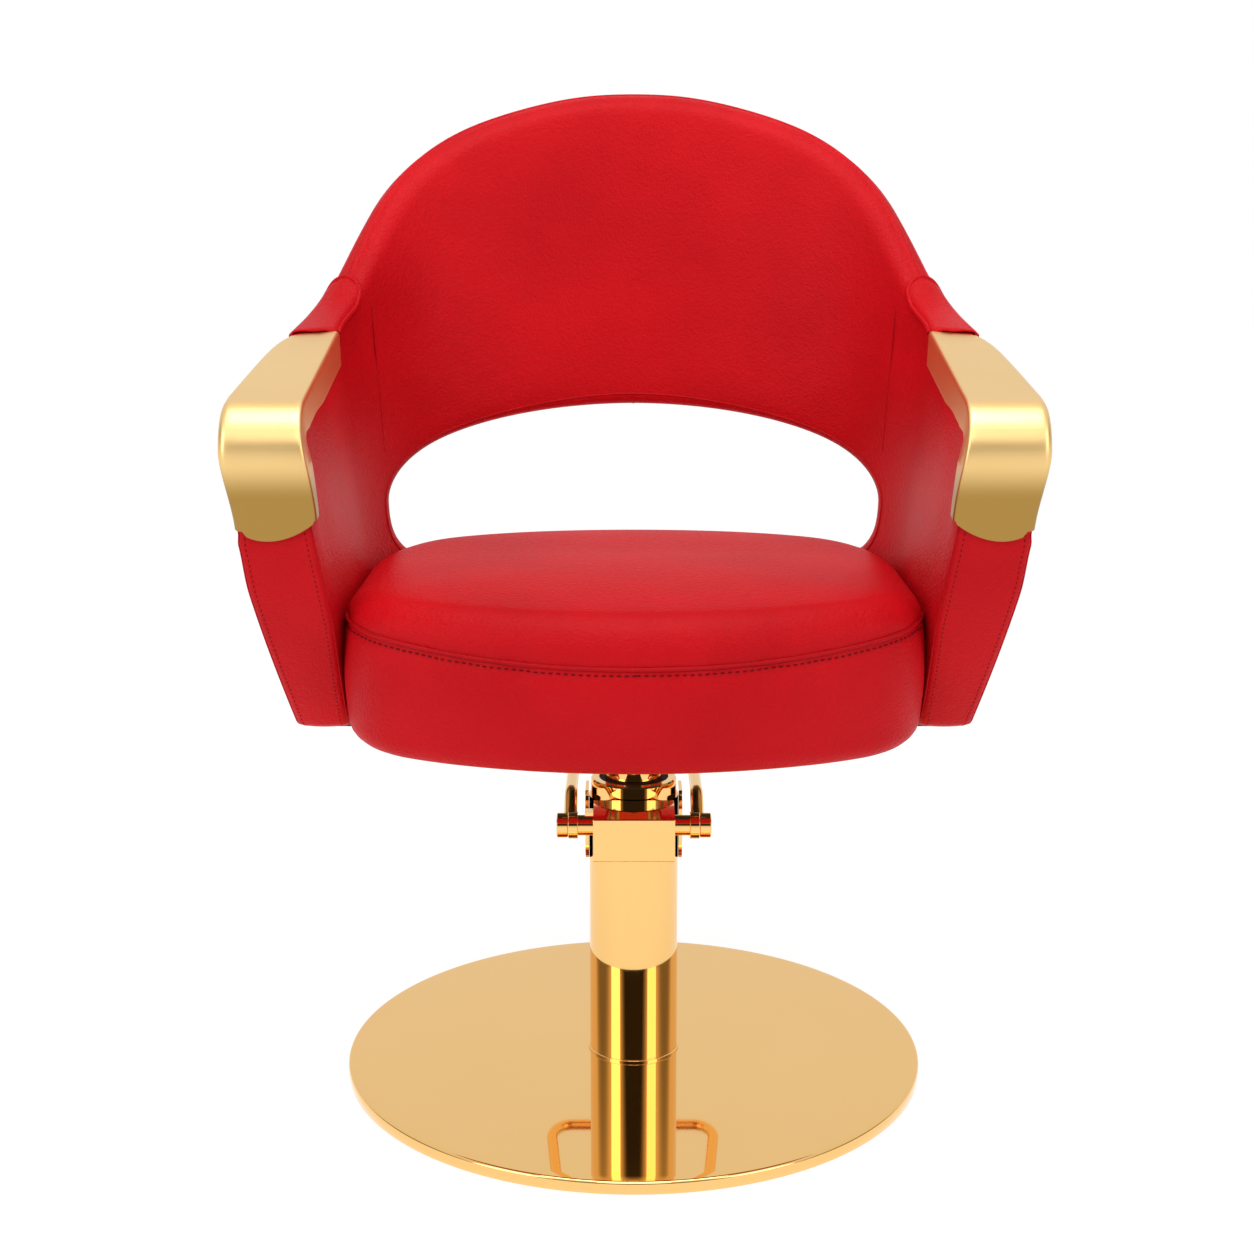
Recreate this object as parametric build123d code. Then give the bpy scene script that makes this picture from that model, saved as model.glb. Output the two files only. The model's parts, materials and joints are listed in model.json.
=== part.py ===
"""Hydraulic salon chair: a padded tub shell on a pedal-pumped column over a round floor disc.

Units are millimetres. +Z is up, +Y points to the back of the chair, +X to the sitter's left.
The origin is the centre of the floor disc, on the floor.
"""
from build123d import *
import math
import os

os.makedirs("parts", exist_ok=True)

# ---- general clearances ----
FIT = 0.05            # radial clearance of a running or sliding fit
GAP = 0.3             # clearance between neighbouring pieces that don't bear on each other
WELD = 0.1            # gap left between a curved seat and the tube it hugs

# ---- floor disc ----
DISC_D = 580.0
DISC_T = 12.0
PAD_T = 2.0           # rubber sheet under the disc
PAD_INSET = 8.0
DISC_EDGE_R = 3.0
DISC_TOP = PAD_T + DISC_T

# ---- column and cylinder ----
COLUMN_D = 88.9
COLUMN_WALL = 3.0
COLUMN_TOP = 283.0
FOOT_T = 12.0         # plug welded into the bottom of the column
FOOT_RING_W = 1.8
FOOT_RING_H = 2.5
FOOT_BOLT_D = 10.0
FOOT_BOLT_PCD = COLUMN_D - 36.9
FOOT_BOLTS = 4
BARREL_WALL = 4.0
BARREL_OD = COLUMN_D - 2 * COLUMN_WALL - 10.9
BARREL_ID = BARREL_OD - 2 * BARREL_WALL
BARREL_TOP = COLUMN_TOP - 15.0
VALVE_BORE = 8.0
VALVE_BALL_D = 10.0
VALVE_SEAT_H = 8.0

# ---- ram ----
RAM_D = BARREL_ID - 7.0
RAM_WALL = 6.0
RAM_TOP = COLUMN_TOP + 45.0  # shoulder that carries the seat, at the lowest position
RAM_FLOOR = 14.0      # room left under the piston for oil
SPIGOT_D = RAM_D - 17.0
SPIGOT_H = 38.0
PISTON_H = 22.0
SEAL_W = 5.0
SEAL_DEPTH = 3.0
WASHER_T = 3.0
CLIP_T = 1.6
CLIP_DROP = 6.0       # the clip's distance below the spigot's top
CLIP_LIP = 3.0
CLIP_GROOVE = 2.0

# ---- head of the column ----
COLLAR_D = COLUMN_D - 3.9
COLLAR_H = 18.0
COLLAR_LIP = 4.0
COLLAR_NOTCHES = 6
NOTCH_W = 12.0
NOTCH_H = 5.0
BUSH_WALL = 3.0
BUSH_H = 26.0
WIPER_H = 5.0
CHEEK_T = 3.4
CHEEK_W = 50.0
CHEEK_H = 74.0
CHEEK_TOP = COLUMN_TOP + 8.0
CHEEK_LOW = CHEEK_TOP - CHEEK_H

# ---- pedal shaft and pump block on the front of the column ----
SHAFT_D = 14.0
SHAFT_Y = -(COLUMN_D / 2 + 21.55)
BLOCK_W = COLUMN_D - 10.9
BLOCK_H = 42.0
BLOCK_FRONT = SHAFT_Y - 38.0
BLOCK_BACK = -20.0
BLOCK_LEDGE = -(COLLAR_D / 2 + GAP)  # rear edge of the block's top face
BLOCK_TOP = COLUMN_TOP + 5.5
BLOCK_LOW = BLOCK_TOP - BLOCK_H
BLOCK_ROUND = 1.2
SHAFT_Z = BLOCK_TOP - 17.5
BLOCK_SCREW_D = 6.0
BLOCK_SCREW_INSET = 11.0
BLOCK_SCREW_UP = 9.0
BLOCK_SCREW_DEPTH = 21.0
PLUNGER_D = 8.0
PLUNGER_HEAD_H = 2.4
PLUNGER_STROKE = 4.5
PLUNGER_ARM = 9.0     # the plunger's distance behind the shaft
PLUNGER_Y = SHAFT_Y + PLUNGER_ARM
PLUNGER_FLOOR = 1.2   # metal left under the plunger's bore
STEM_D = 4.5
SPRING_STEP = 7.8
SPRING_WIRE = 0.8
SPRING_TURNS = 3

# ---- pedal ----
NECK_D = 20.0
RING_D = 26.0
BOSS_D = 24.0
RING_IN = BLOCK_W / 2 + 15.0  # distance of the ring's inner face from the middle plane
RING_W = 9.5
BOSS_W = 11.0
ROD_D = 12.7
ROD_X = RING_IN + 7.5
PEDAL_END = 290.0     # how far back the foot bar is
PEDAL_HALF_W = 98.0
PEDAL_LOW = SHAFT_Z - 22.0
CAM_W = 12.0
TOE_REACH = PLUNGER_ARM + 4.0  # how far the cam's toe reaches back over the plunger
TOE_T = 10.6
LUG_W = 8.2
SET_SCREW_D = 9.0

# ---- seat carrier ----
SEAT_LOW = RAM_TOP + 52.0
HUB_D = SPIGOT_D + 26.0
HUB_FLANGE_D = 110.0
HUB_FLANGE_T = 6.0
PLATE_BOLT_SPACING = 130.0
PLATE_SIDE = PLATE_BOLT_SPACING + 50.0
PLATE_T = 6.0
PLATE_CORNER = 12.0
BOLT_D = 8.0
BOLT_HEAD_D = 15.0
BOLT_HEAD_H = 5.0
T_NUT_FLANGE = 1.6
RAIL_T = 5.0
RAIL_W = 40.0
RAIL_Y = PLATE_BOLT_SPACING / 2
RAIL_SHORT = 8.0      # how far the rail ends stay inside the shell
RAIL_SCREW_X = 190.0
SCREW_D = 5.0
SCREW_HEAD_D = 10.0
SCREW_HEAD_H = 3.0
SCREW_BITE = 12.0

# ---- tub shell ----
SHELL_LOW = SEAT_LOW
SHELL_TOP = SHELL_LOW + 593.0
SHELL_KNEE = SHELL_LOW + 314.0  # height where the side walls stop leaning outwards
SHELL_IN_LOW = 266.0  # half-widths, measured at the front reference
SHELL_IN_HIGH = SHELL_IN_LOW + 19.0
SHELL_OUT_LOW = SHELL_IN_LOW + 48.0
SHELL_OUT_HIGH = SHELL_IN_HIGH + 67.0
SHELL_IN_KNEE = SHELL_LOW + 110.0  # height where the inner walls start to lean
SHELL_REF_Y = -200.0
SHELL_TAPER_LOW = 3.0  # degrees that each outer side closes in towards the back
SHELL_TAPER_HIGH = 6.7
SHELL_BACK_LOW = 240.0
SHELL_RAKE = 0.105    # how far the back leans per unit of height
SHELL_BACK_T = 45.0
SHELL_CORNER = 200.0
SHELL_BACK_R = 480.0
SHELL_IN_CORNER = SHELL_CORNER - 35.0
SHELL_IN_BACK_R = SHELL_BACK_R - SHELL_BACK_T
ARM_FRONT_LOW = -110.0
ARM_FRONT_MID = (-219.0, SHELL_LOW + 192.0)
ARM_FRONT_TOP = (-245.0, SHELL_LOW + 304.0)
ARM_FRONT_R = 150.0
ARM_ROLL_R = 46.0
ARM_REAR = (93.0, SHELL_LOW + 374.0)
ARM_REAR_R = 90.0
RIM_TOP_R = 12.0
RIM_TOP_Y = SHELL_BACK_LOW + 8.0
SHOULDER_X = SHELL_OUT_HIGH - 65.0  # where the shoulder's arc ends
ARCH_R = SHOULDER_X * 450.0 / 287.0  # crown of the back, seen from the front
ARCH_TURN = 24.0      # degrees of the crown's arc on each side
SHOULDER_TURN = 43.8
ARCH_FOOT = ARM_REAR[1] + 3.0  # height where the shoulders flow into the arms
ARCH_FOOT_R = 30.0
WINDOW_LOW = SHELL_LOW + 88.0
WINDOW_TOP = SHELL_LOW + 271.0
WINDOW_HALF = SHELL_IN_LOW - 26.0
WINDOW_SPLAY = 100.0  # how much wider the window is at the outer face
WINDOW_NEAR = 60.0

# ---- seat cushion ----
SEAT_SIDE_GAP = 3.0
SEAT_BACK_GAP = 7.0
SEAT_EDGE = SEAT_LOW + 92.0  # height of the top seam
SEAT_CROWN = SEAT_EDGE + 50.0
SEAT_TOP_ROUND = 36.0
SEAT_HALF = SHELL_IN_LOW - SEAT_SIDE_GAP
SEAT_FRONT = 266.0
SEAT_BACK = SHELL_BACK_LOW - SHELL_BACK_T - SEAT_BACK_GAP
SEAT_CORNER = 100.0
SEAT_FRONT_R = 450.0
SEAT_BACK_CORNER = 140.0
SEAT_BACK_R = 430.0
SEAT_LOW_ROUND = 18.0
BOARD_T = 15.0
BOARD_INSET = 34.0

# ---- arm caps, strips and brackets ----
CAP_T = 2.5
CAP_PROUD = 0.6
CAP_REAR_Y = 20.0
CAP_SIDE_REAR = 34.0  # height of the side wall at the rear end
CAP_SIDE_MID = 34.0   # and inside the roll
CAP_SIDE_FRONT = 15.0
CAP_EXTRA = 20.0      # how far the hollow of a cap runs past its open ends
CAP_LOW = SHELL_LOW + 195.0
ARM_PRISM_LOW = SHELL_LOW + 160.0
ARM_PRISM_TOP = SHELL_LOW + 450.0
STUD_D = 6.0
STUD_L = 30.0
STUD_YS = (-150.0, -45.0)
STUD_X = SHELL_IN_HIGH + 28.0
BRACKET_T = 6.0
BRACKET_W = 36.0
BRACKET_X = SHELL_IN_LOW + 31.0
BRACKET_LEG = 26.0
BRACKET_TOP = SHELL_LOW + 315.0
STRIP_T = 2.0
STRIP_INSET = 5.0
STRIP_END = 108.0


def save(shape, name):
    """Write one sub-part to its own STEP file."""
    shape.label = name
    export_step(shape, f"parts/{name}.step")


def rod(radius, z_low, z_high, x=0.0, y=0.0):
    """Upright solid cylinder between two heights."""
    return Pos(x, y, (z_low + z_high) / 2) * Cylinder(radius, z_high - z_low)


def tube(r_out, r_in, z_low, z_high, x=0.0, y=0.0):
    """Upright hollow cylinder between two heights."""
    return rod(r_out, z_low, z_high, x, y) - rod(r_in, z_low - 1, z_high + 1, x, y)


def cross_rod(radius, x_low, x_high, y, z):
    """Solid cylinder along X."""
    return Pos((x_low + x_high) / 2, y, z) * Rot(0, 90, 0) * Cylinder(radius, x_high - x_low)


def block(x_low, x_high, y_low, y_high, z_low, z_high):
    """Box given by its six faces."""
    centre = Pos((x_low + x_high) / 2, (y_low + y_high) / 2, (z_low + z_high) / 2)
    return centre * Box(x_high - x_low, y_high - y_low, z_high - z_low)


def ring_of(shape, count, radius, start=0.0):
    """Copies of a shape on a circle about the Z axis."""
    return [Rot(0, 0, start + 360 * i / count) * Pos(radius, 0, 0) * shape for i in range(count)]


def mirrored(shape):
    """The same shape on the other side of the middle plane."""
    return mirror(shape, Plane.YZ)


# ---------------------------------------------------------------- plan outlines
def tub_points(half, y_ref, taper, y_back, corner, back_r):
    """Corner points of a tapered side, a corner arc and a wide back arc, all tangent."""
    c, s = math.cos(taper), math.sin(taper)
    reach = half * c + y_ref * s
    turn = math.asin((reach - corner - (y_back - back_r) * s) / (back_r - corner)) - taper
    cx = (back_r - corner) * math.sin(turn)
    cy = y_back - back_r + (back_r - corner) * math.cos(turn)
    mid = (turn + math.pi / 2 - taper) / 2
    side_end = (cx + corner * c, cy + corner * s)
    corner_mid = (cx + corner * math.sin(mid), cy + corner * math.cos(mid))
    back_end = (back_r * math.sin(turn), y_back - back_r + back_r * math.cos(turn))
    return side_end, corner_mid, back_end


def tub_face(z, half, y_ref, taper_deg, y_back, corner, back_r, y_front):
    """Horizontal D-shaped face with a straight front and a rounded back."""
    taper = math.radians(taper_deg)
    side_end, corner_mid, back_end = tub_points(half, y_ref, taper, y_back, corner, back_r)
    front_x = half + (y_ref - y_front) * math.tan(taper)

    def flip(p):
        return (-p[0], p[1])

    with BuildSketch(Plane.XY.offset(z)) as sketch:
        with BuildLine():
            Line((-front_x, y_front), (front_x, y_front))
            Line((front_x, y_front), side_end)
            ThreePointArc(side_end, corner_mid, back_end)
            ThreePointArc(back_end, (0, y_back), flip(back_end))
            ThreePointArc(flip(back_end), flip(corner_mid), flip(side_end))
            Line(flip(side_end), (-front_x, y_front))
        make_face()
    return sketch.sketch.faces()[0]


def seat_face(z, inset=0.0):
    """Horizontal outline of the seat cushion, drawn in by an even inset."""
    half = SEAT_HALF - inset
    front, front_r, front_c = SEAT_FRONT - inset, SEAT_FRONT_R - inset, SEAT_CORNER - inset
    back, back_r, back_c = SEAT_BACK - inset, SEAT_BACK_R - inset, SEAT_BACK_CORNER - inset
    f_side, f_mid, f_end = tub_points(half, 0.0, 0.0, front, front_c, front_r)
    b_side, b_mid, b_end = tub_points(half, 0.0, 0.0, back, back_c, back_r)
    right = [(f_end[0], -f_end[1]), (f_mid[0], -f_mid[1]), (f_side[0], -f_side[1]), b_side, b_mid, b_end]
    left = [(-x, y) for x, y in right]
    with BuildSketch(Plane.XY.offset(z)) as sketch:
        with BuildLine():
            ThreePointArc(left[0], (0, -front), right[0])
            ThreePointArc(right[0], right[1], right[2])
            Line(right[2], right[3])
            ThreePointArc(right[3], right[4], right[5])
            ThreePointArc(right[5], (0, back), left[5])
            ThreePointArc(left[5], left[4], left[3])
            Line(left[3], left[2])
            ThreePointArc(left[2], left[1], left[0])
        make_face()
    return sketch.sketch.faces()[0]


def outer_half(z):
    """Half-width of the shell's outside at the front reference."""
    lean = (SHELL_OUT_HIGH - SHELL_OUT_LOW) / (SHELL_KNEE - SHELL_LOW)
    return SHELL_OUT_LOW + lean * (min(z, SHELL_KNEE) - SHELL_LOW)


def inner_half(z):
    """Half-width of the shell's inside."""
    lean = (SHELL_IN_HIGH - SHELL_IN_LOW) / (SHELL_KNEE - SHELL_IN_KNEE)
    return SHELL_IN_LOW + lean * (min(max(z, SHELL_IN_KNEE), SHELL_KNEE) - SHELL_IN_KNEE)


def side_taper(z):
    """Degrees that the outer side closes in towards the back at a given height."""
    share = (min(z, SHELL_KNEE) - SHELL_LOW) / (SHELL_KNEE - SHELL_LOW)
    return SHELL_TAPER_LOW + (SHELL_TAPER_HIGH - SHELL_TAPER_LOW) * share


def outer_x(y, z):
    """Where the straight part of the shell's outer side lies."""
    return outer_half(z) - math.tan(math.radians(side_taper(z))) * (y - SHELL_REF_Y)


def back_y(z):
    """Rearmost line of the shell's outside."""
    return SHELL_BACK_LOW + SHELL_RAKE * (z - SHELL_LOW)


def side_profile():
    """Side view of the whole shell: raked front, arm, rising rim and back."""
    back = back_y(SHELL_TOP) + 40
    points = [
        (back, SHELL_LOW),
        (ARM_FRONT_LOW, SHELL_LOW),
        ARM_FRONT_MID,
        ARM_FRONT_TOP,
        ARM_REAR,
        (RIM_TOP_Y, SHELL_TOP),
        (back, SHELL_TOP),
    ]
    radii = [0, 0, ARM_FRONT_R, ARM_ROLL_R, ARM_REAR_R, RIM_TOP_R, 0]
    with BuildSketch(Plane.YZ) as sketch:
        with BuildLine():
            FilletPolyline(*points, radius=radii, close=True)
        make_face()
    return sketch.sketch.faces()[0]


def front_arch():
    """Front view of the back's rim: crown, shoulders and the flare onto the arms."""
    a, b = math.radians(ARCH_TURN), math.radians(ARCH_TURN + SHOULDER_TURN)
    crown_z = SHELL_TOP - ARCH_R
    shoulder_r = (SHOULDER_X - ARCH_R * math.sin(a)) / (math.sin(b) - math.sin(a))
    cx, cz = (ARCH_R - shoulder_r) * math.sin(a), crown_z + (ARCH_R - shoulder_r) * math.cos(a)
    crown_end = (ARCH_R * math.sin(a), crown_z + ARCH_R * math.cos(a))
    mid = (a + b) / 2
    shoulder_mid = (cx + shoulder_r * math.sin(mid), cz + shoulder_r * math.cos(mid))
    shoulder_end = (cx + shoulder_r * math.sin(b), cz + shoulder_r * math.cos(b))
    foot_x = shoulder_end[0] + (shoulder_end[1] - ARCH_FOOT) / math.tan(b)
    wide = SHELL_OUT_HIGH + 80

    def flip(p):
        return (-p[0], p[1])

    with BuildSketch(Plane.XZ) as sketch:
        with BuildLine():
            ThreePointArc(flip(crown_end), (0, SHELL_TOP), crown_end)
            ThreePointArc(crown_end, shoulder_mid, shoulder_end)
            ThreePointArc(flip(crown_end), flip(shoulder_mid), flip(shoulder_end))
            side = [shoulder_end, (foot_x, ARCH_FOOT), (wide, ARCH_FOOT), (wide, SHELL_LOW - 1)]
            FilletPolyline(*side, radius=[ARCH_FOOT_R, 0])
            FilletPolyline(*[flip(p) for p in side], radius=[ARCH_FOOT_R, 0])
            Line((wide, SHELL_LOW - 1), (-wide, SHELL_LOW - 1))
        make_face()
    return sketch.sketch.faces()[0]


# ---------------------------------------------------------------- base
def make_base():
    disc = rod(DISC_D / 2, PAD_T, DISC_TOP)
    disc = fillet(disc.edges().filter_by(GeomType.CIRCLE).group_by(Axis.Z)[-1], DISC_EDGE_R)
    bolt = rod(FOOT_BOLT_D / 2, PAD_T + 0.5, DISC_TOP + FOOT_T - 2)
    head_top = PAD_T + 0.5 + FOOT_BOLT_D / 2
    head = Pos(0, 0, (PAD_T + 0.5 + head_top) / 2)
    head = head * Cone(FOOT_BOLT_D, FOOT_BOLT_D / 2, head_top - PAD_T - 0.5)
    bolts = ring_of(bolt + head, FOOT_BOLTS, FOOT_BOLT_PCD / 2, 45)
    hole = rod(FOOT_BOLT_D / 2 + FIT, 0, DISC_TOP + FOOT_T - 1.5)
    sink = Pos(0, 0, (PAD_T + head_top + FIT) / 2)
    sink = sink * Cone(FOOT_BOLT_D + GAP + 0.5, FOOT_BOLT_D / 2 + FIT, head_top + FIT - PAD_T)
    holes = ring_of(hole + sink, FOOT_BOLTS, FOOT_BOLT_PCD / 2, 45)
    for cutter in holes:
        disc = disc - cutter
    save(disc, "base_disc")

    save(rod(DISC_D / 2 - PAD_INSET, 0, PAD_T), "floor_pad")

    column_r = COLUMN_D / 2
    bore_r = column_r - COLUMN_WALL
    column = tube(column_r, bore_r, DISC_TOP, COLUMN_TOP)
    save(column, "column_tube")

    foot = rod(bore_r, DISC_TOP, DISC_TOP + FOOT_T)
    foot = foot - rod(VALVE_BORE / 2, DISC_TOP + 4, DISC_TOP + FOOT_T + 1)
    for cutter in holes:
        foot = foot - cutter
    save(foot, "column_foot")
    save(Compound(children=bolts), "foot_bolts")

    ring = tube(column_r + FOOT_RING_W, column_r + FIT, DISC_TOP, DISC_TOP + FOOT_RING_H)
    rim = ring.edges().filter_by(GeomType.CIRCLE).group_by(Axis.Z)[-1]
    ring = fillet(rim.sort_by(SortBy.RADIUS)[-1], 0.8)
    save(ring, "foot_ring")

    floor = DISC_TOP + FOOT_T
    barrel = tube(BARREL_OD / 2, BARREL_ID / 2, floor, BARREL_TOP)
    save(barrel, "cylinder_barrel")

    seat = rod(BARREL_ID / 2, floor, floor + VALVE_SEAT_H)
    ball_z = floor + VALVE_SEAT_H - VALVE_BALL_D / 2 + 2
    pocket = rod(VALVE_BALL_D / 2 + GAP, ball_z, floor + VALVE_SEAT_H + 1)
    pocket = pocket + Pos(0, 0, ball_z) * Sphere(VALVE_BALL_D / 2 + FIT)
    seat = seat - pocket - rod(VALVE_BORE / 2 - 1, floor - 1, floor + VALVE_SEAT_H)
    save(seat, "valve_seat")
    save(Pos(0, 0, ball_z) * Sphere(VALVE_BALL_D / 2), "check_ball")


def make_head():
    column_r = COLUMN_D / 2
    bore_r = column_r - COLUMN_WALL
    bush_r = RAM_D / 2 + BUSH_WALL
    bush_low = COLUMN_TOP - BUSH_H / 2
    collar_top = COLUMN_TOP + COLLAR_H
    collar = rod(COLLAR_D / 2, COLUMN_TOP, collar_top)
    collar = chamfer(collar.edges().filter_by(GeomType.CIRCLE).group_by(Axis.Z)[-1], 1.5)
    collar = collar + rod(bore_r - FIT, BARREL_TOP, COLUMN_TOP)
    collar = collar - rod(bush_r, BARREL_TOP - 1, collar_top - WIPER_H)
    collar = collar - rod(RAM_D / 2 + COLLAR_LIP + 2, collar_top - WIPER_H, collar_top + 1)
    notch = block(-NOTCH_H, NOTCH_H, -NOTCH_W / 2, NOTCH_W / 2, COLUMN_TOP - 0.01, COLUMN_TOP + NOTCH_H)
    for cutter in ring_of(notch, COLLAR_NOTCHES, COLLAR_D / 2 + 2, 30):
        collar = collar - cutter
    save(collar, "head_collar")
    save(tube(bush_r - WELD / 2, RAM_D / 2 + FIT, bush_low, bush_low + BUSH_H), "guide_bush")
    wiper = tube(RAM_D / 2 + COLLAR_LIP + 1.8, RAM_D / 2 + GAP, collar_top - WIPER_H, collar_top - 0.5)
    save(wiper, "wiper_seal")

    cheeks = []
    for side in (-1, 1):
        x_in = side * (column_r + WELD)
        x_out = side * (column_r + WELD + CHEEK_T)
        low, high = min(x_in, x_out), max(x_in, x_out)
        plate = block(low, high, -CHEEK_W / 2, CHEEK_W / 2, CHEEK_LOW + CHEEK_W / 2, CHEEK_TOP - 8)
        plate = plate + cross_rod(CHEEK_W / 2, low, high, 0, CHEEK_LOW + CHEEK_W / 2)
        plate = plate + block(low, high, -CHEEK_W / 2 + 8, CHEEK_W / 2 - 8, CHEEK_TOP - 10, CHEEK_TOP)
        cheeks.append(plate)
    save(Compound(children=cheeks), "head_cheeks")


def make_block():
    half = BLOCK_W / 2
    body = block(-half, half, BLOCK_FRONT, BLOCK_BACK, BLOCK_LOW, BLOCK_TOP)
    body = fillet(body.edges().group_by(Axis.Y)[0], BLOCK_ROUND)
    body = body - rod(COLUMN_D / 2 + WELD, BLOCK_LOW - 1, BLOCK_TOP + 1)
    body = body - block(-half - 1, half + 1, BLOCK_LEDGE, BLOCK_BACK + 1, COLUMN_TOP - 1, BLOCK_TOP + 1)
    body = body - cross_rod(SHAFT_D / 2 + FIT, -half - 1, half + 1, SHAFT_Y, SHAFT_Z)
    cam_room = CAM_W / 2 + GAP
    body = body - cross_rod(TOE_REACH + 1.8, -cam_room, cam_room, SHAFT_Y, SHAFT_Z)
    body = body - rod(PLUNGER_D / 2 + FIT, spring_seat(), SHAFT_Z, 0, PLUNGER_Y)
    body = body - rod(STEM_D / 2 + FIT, BLOCK_LOW + PLUNGER_FLOOR, SHAFT_Z, 0, PLUNGER_Y)
    screws = []
    for side in (-1, 1):
        x = side * (half - BLOCK_SCREW_INSET)
        screw_z = BLOCK_LOW + BLOCK_SCREW_UP
        y_low = BLOCK_FRONT + BLOCK_SCREW_DEPTH
        y_high = -column_front_y(half - BLOCK_SCREW_INSET - BLOCK_SCREW_D / 2)
        bore = Rot(90, 0, 0) * Cylinder(BLOCK_SCREW_D / 2 + FIT, 1 - y_low)
        body = body - Pos(x, (y_low - 1) / 2, screw_z) * bore
        screw = Rot(90, 0, 0) * Cylinder(BLOCK_SCREW_D / 2, y_high - y_low)
        screw = Pos(x, (y_low + y_high) / 2, screw_z) * screw
        screws.append(screw)
    save(body, "pump_block")
    save(Compound(children=screws), "block_screws")


def spring_seat():
    """Height of the step that the plunger's spring stands on."""
    return BLOCK_LOW + PLUNGER_FLOOR + SPRING_STEP


def column_front_y(x):
    """Distance in front of the axis where the column's wall is met at a given x."""
    return math.sqrt((COLUMN_D / 2) ** 2 - x * x) + GAP


def make_pump():
    head_top = SHAFT_Z - TOE_T / 2 - FIT
    head_low = head_top - PLUNGER_HEAD_H
    head = rod(PLUNGER_D / 2, head_low, head_top, 0, PLUNGER_Y)
    stem_low = BLOCK_LOW + PLUNGER_FLOOR + PLUNGER_STROKE + GAP
    stem = rod(STEM_D / 2, stem_low, head_low, 0, PLUNGER_Y)
    save(head + stem, "pump_plunger")
    spring_low = spring_seat() + SPRING_WIRE / 2 + FIT
    height = head_low - SPRING_WIRE / 2 - FIT - spring_low
    line = Helix(pitch=height / SPRING_TURNS, height=height, radius=(PLUNGER_D + STEM_D) / 4)
    spring = sweep(Plane(origin=line @ 0, z_dir=line % 0) * Circle(SPRING_WIRE / 2), path=line)
    save(Pos(0, PLUNGER_Y, spring_low) * spring, "plunger_spring")


# ---------------------------------------------------------------- pedal
def make_pedal():
    shaft = cross_rod(SHAFT_D / 2, -RING_IN, RING_IN, SHAFT_Y, SHAFT_Z)
    toe = block(-CAM_W / 2, CAM_W / 2, SHAFT_Y, SHAFT_Y + TOE_REACH, SHAFT_Z - TOE_T / 2, SHAFT_Z + TOE_T / 2)
    save(shaft + toe, "pedal_shaft")

    neck_in = BLOCK_W / 2 + GAP
    necks = []
    bosses = []
    screws = []
    for side in (-1, 1):
        low, high = sorted((side * neck_in, side * (RING_IN - 0.05)))
        neck = cross_rod(NECK_D / 2, low, high, SHAFT_Y, SHAFT_Z)
        neck = neck - cross_rod(SHAFT_D / 2, low - 1, high + 1, SHAFT_Y, SHAFT_Z)
        necks.append(neck)
        low, high = sorted((side * RING_IN, side * (RING_IN + RING_W)))
        boss = cross_rod(RING_D / 2, low, high, SHAFT_Y, SHAFT_Z)
        boss = chamfer(boss.edges().filter_by(GeomType.CIRCLE), 0.6)
        low, high = sorted((side * (RING_IN + RING_W), side * (RING_IN + RING_W + BOSS_W)))
        outer = cross_rod(BOSS_D / 2, low, high, SHAFT_Y, SHAFT_Z)
        outer = chamfer(outer.edges().filter_by(GeomType.CIRCLE), 0.8)
        bosses.append(boss + outer)
        x = side * (RING_IN + RING_W / 2)
        drop = Pos(x, SHAFT_Y, SHAFT_Z) * Rot(35, 0, 0) * Pos(0, 0, -RING_D / 2 - 0.6)
        screws.append(drop * extrude(RegularPolygon(SET_SCREW_D / 2, 6), 2.2, both=True))
    cam_lug = block(-neck_in - LUG_W, -neck_in, SHAFT_Y - 2, SHAFT_Y + 16, SHAFT_Z + 2, SHAFT_Z + 13)
    cam_lug = cam_lug - cross_rod(NECK_D / 2, -neck_in - LUG_W - 1, -neck_in + 1, SHAFT_Y, SHAFT_Z)
    cam_lug = chamfer(cam_lug.edges().filter_by(Axis.X).group_by(Axis.Z)[-1].sort_by(Axis.Y)[-1], 4)
    save(Compound(children=necks), "shaft_sleeves")
    save(cam_lug, "pedal_stop_lug")

    half = [
        (ROD_X, SHAFT_Y + 4, SHAFT_Z + 6),
        (ROD_X, SHAFT_Y + 30, SHAFT_Z + 23),
        (ROD_X, 38.0, SHAFT_Z + 22),
        (PEDAL_HALF_W - 11, PEDAL_END - 105, PEDAL_LOW + 18),
        (PEDAL_HALF_W, PEDAL_END, PEDAL_LOW),
    ]
    route = half + [(-x, y, z) for x, y, z in reversed(half)]
    radii = [22, 60, 120, 24, 24, 120, 60, 22]
    path = FilletPolyline(*route, radius=radii)
    profile = Plane(origin=path @ 0, z_dir=path % 0) * Circle(ROD_D / 2)
    loop = sweep(profile, path=path)
    print("pedal loop", round(loop.volume / (math.pi * ROD_D ** 2 / 4 * path.length), 4))
    for i, side in enumerate((-1, 1)):
        bosses[i] = bosses[i] - loop
        bosses[i] = bosses[i] - screws[i]
    loop = loop - cross_rod(RING_D / 2 - 9, -80, 80, SHAFT_Y, SHAFT_Z)
    save(loop, "pedal_loop")
    save(bosses[0].solids().sort_by(SortBy.VOLUME)[-1], "pedal_boss_right")
    save(bosses[1].solids().sort_by(SortBy.VOLUME)[-1], "pedal_boss_left")
    save(Compound(children=screws), "pedal_set_screws")


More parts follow.
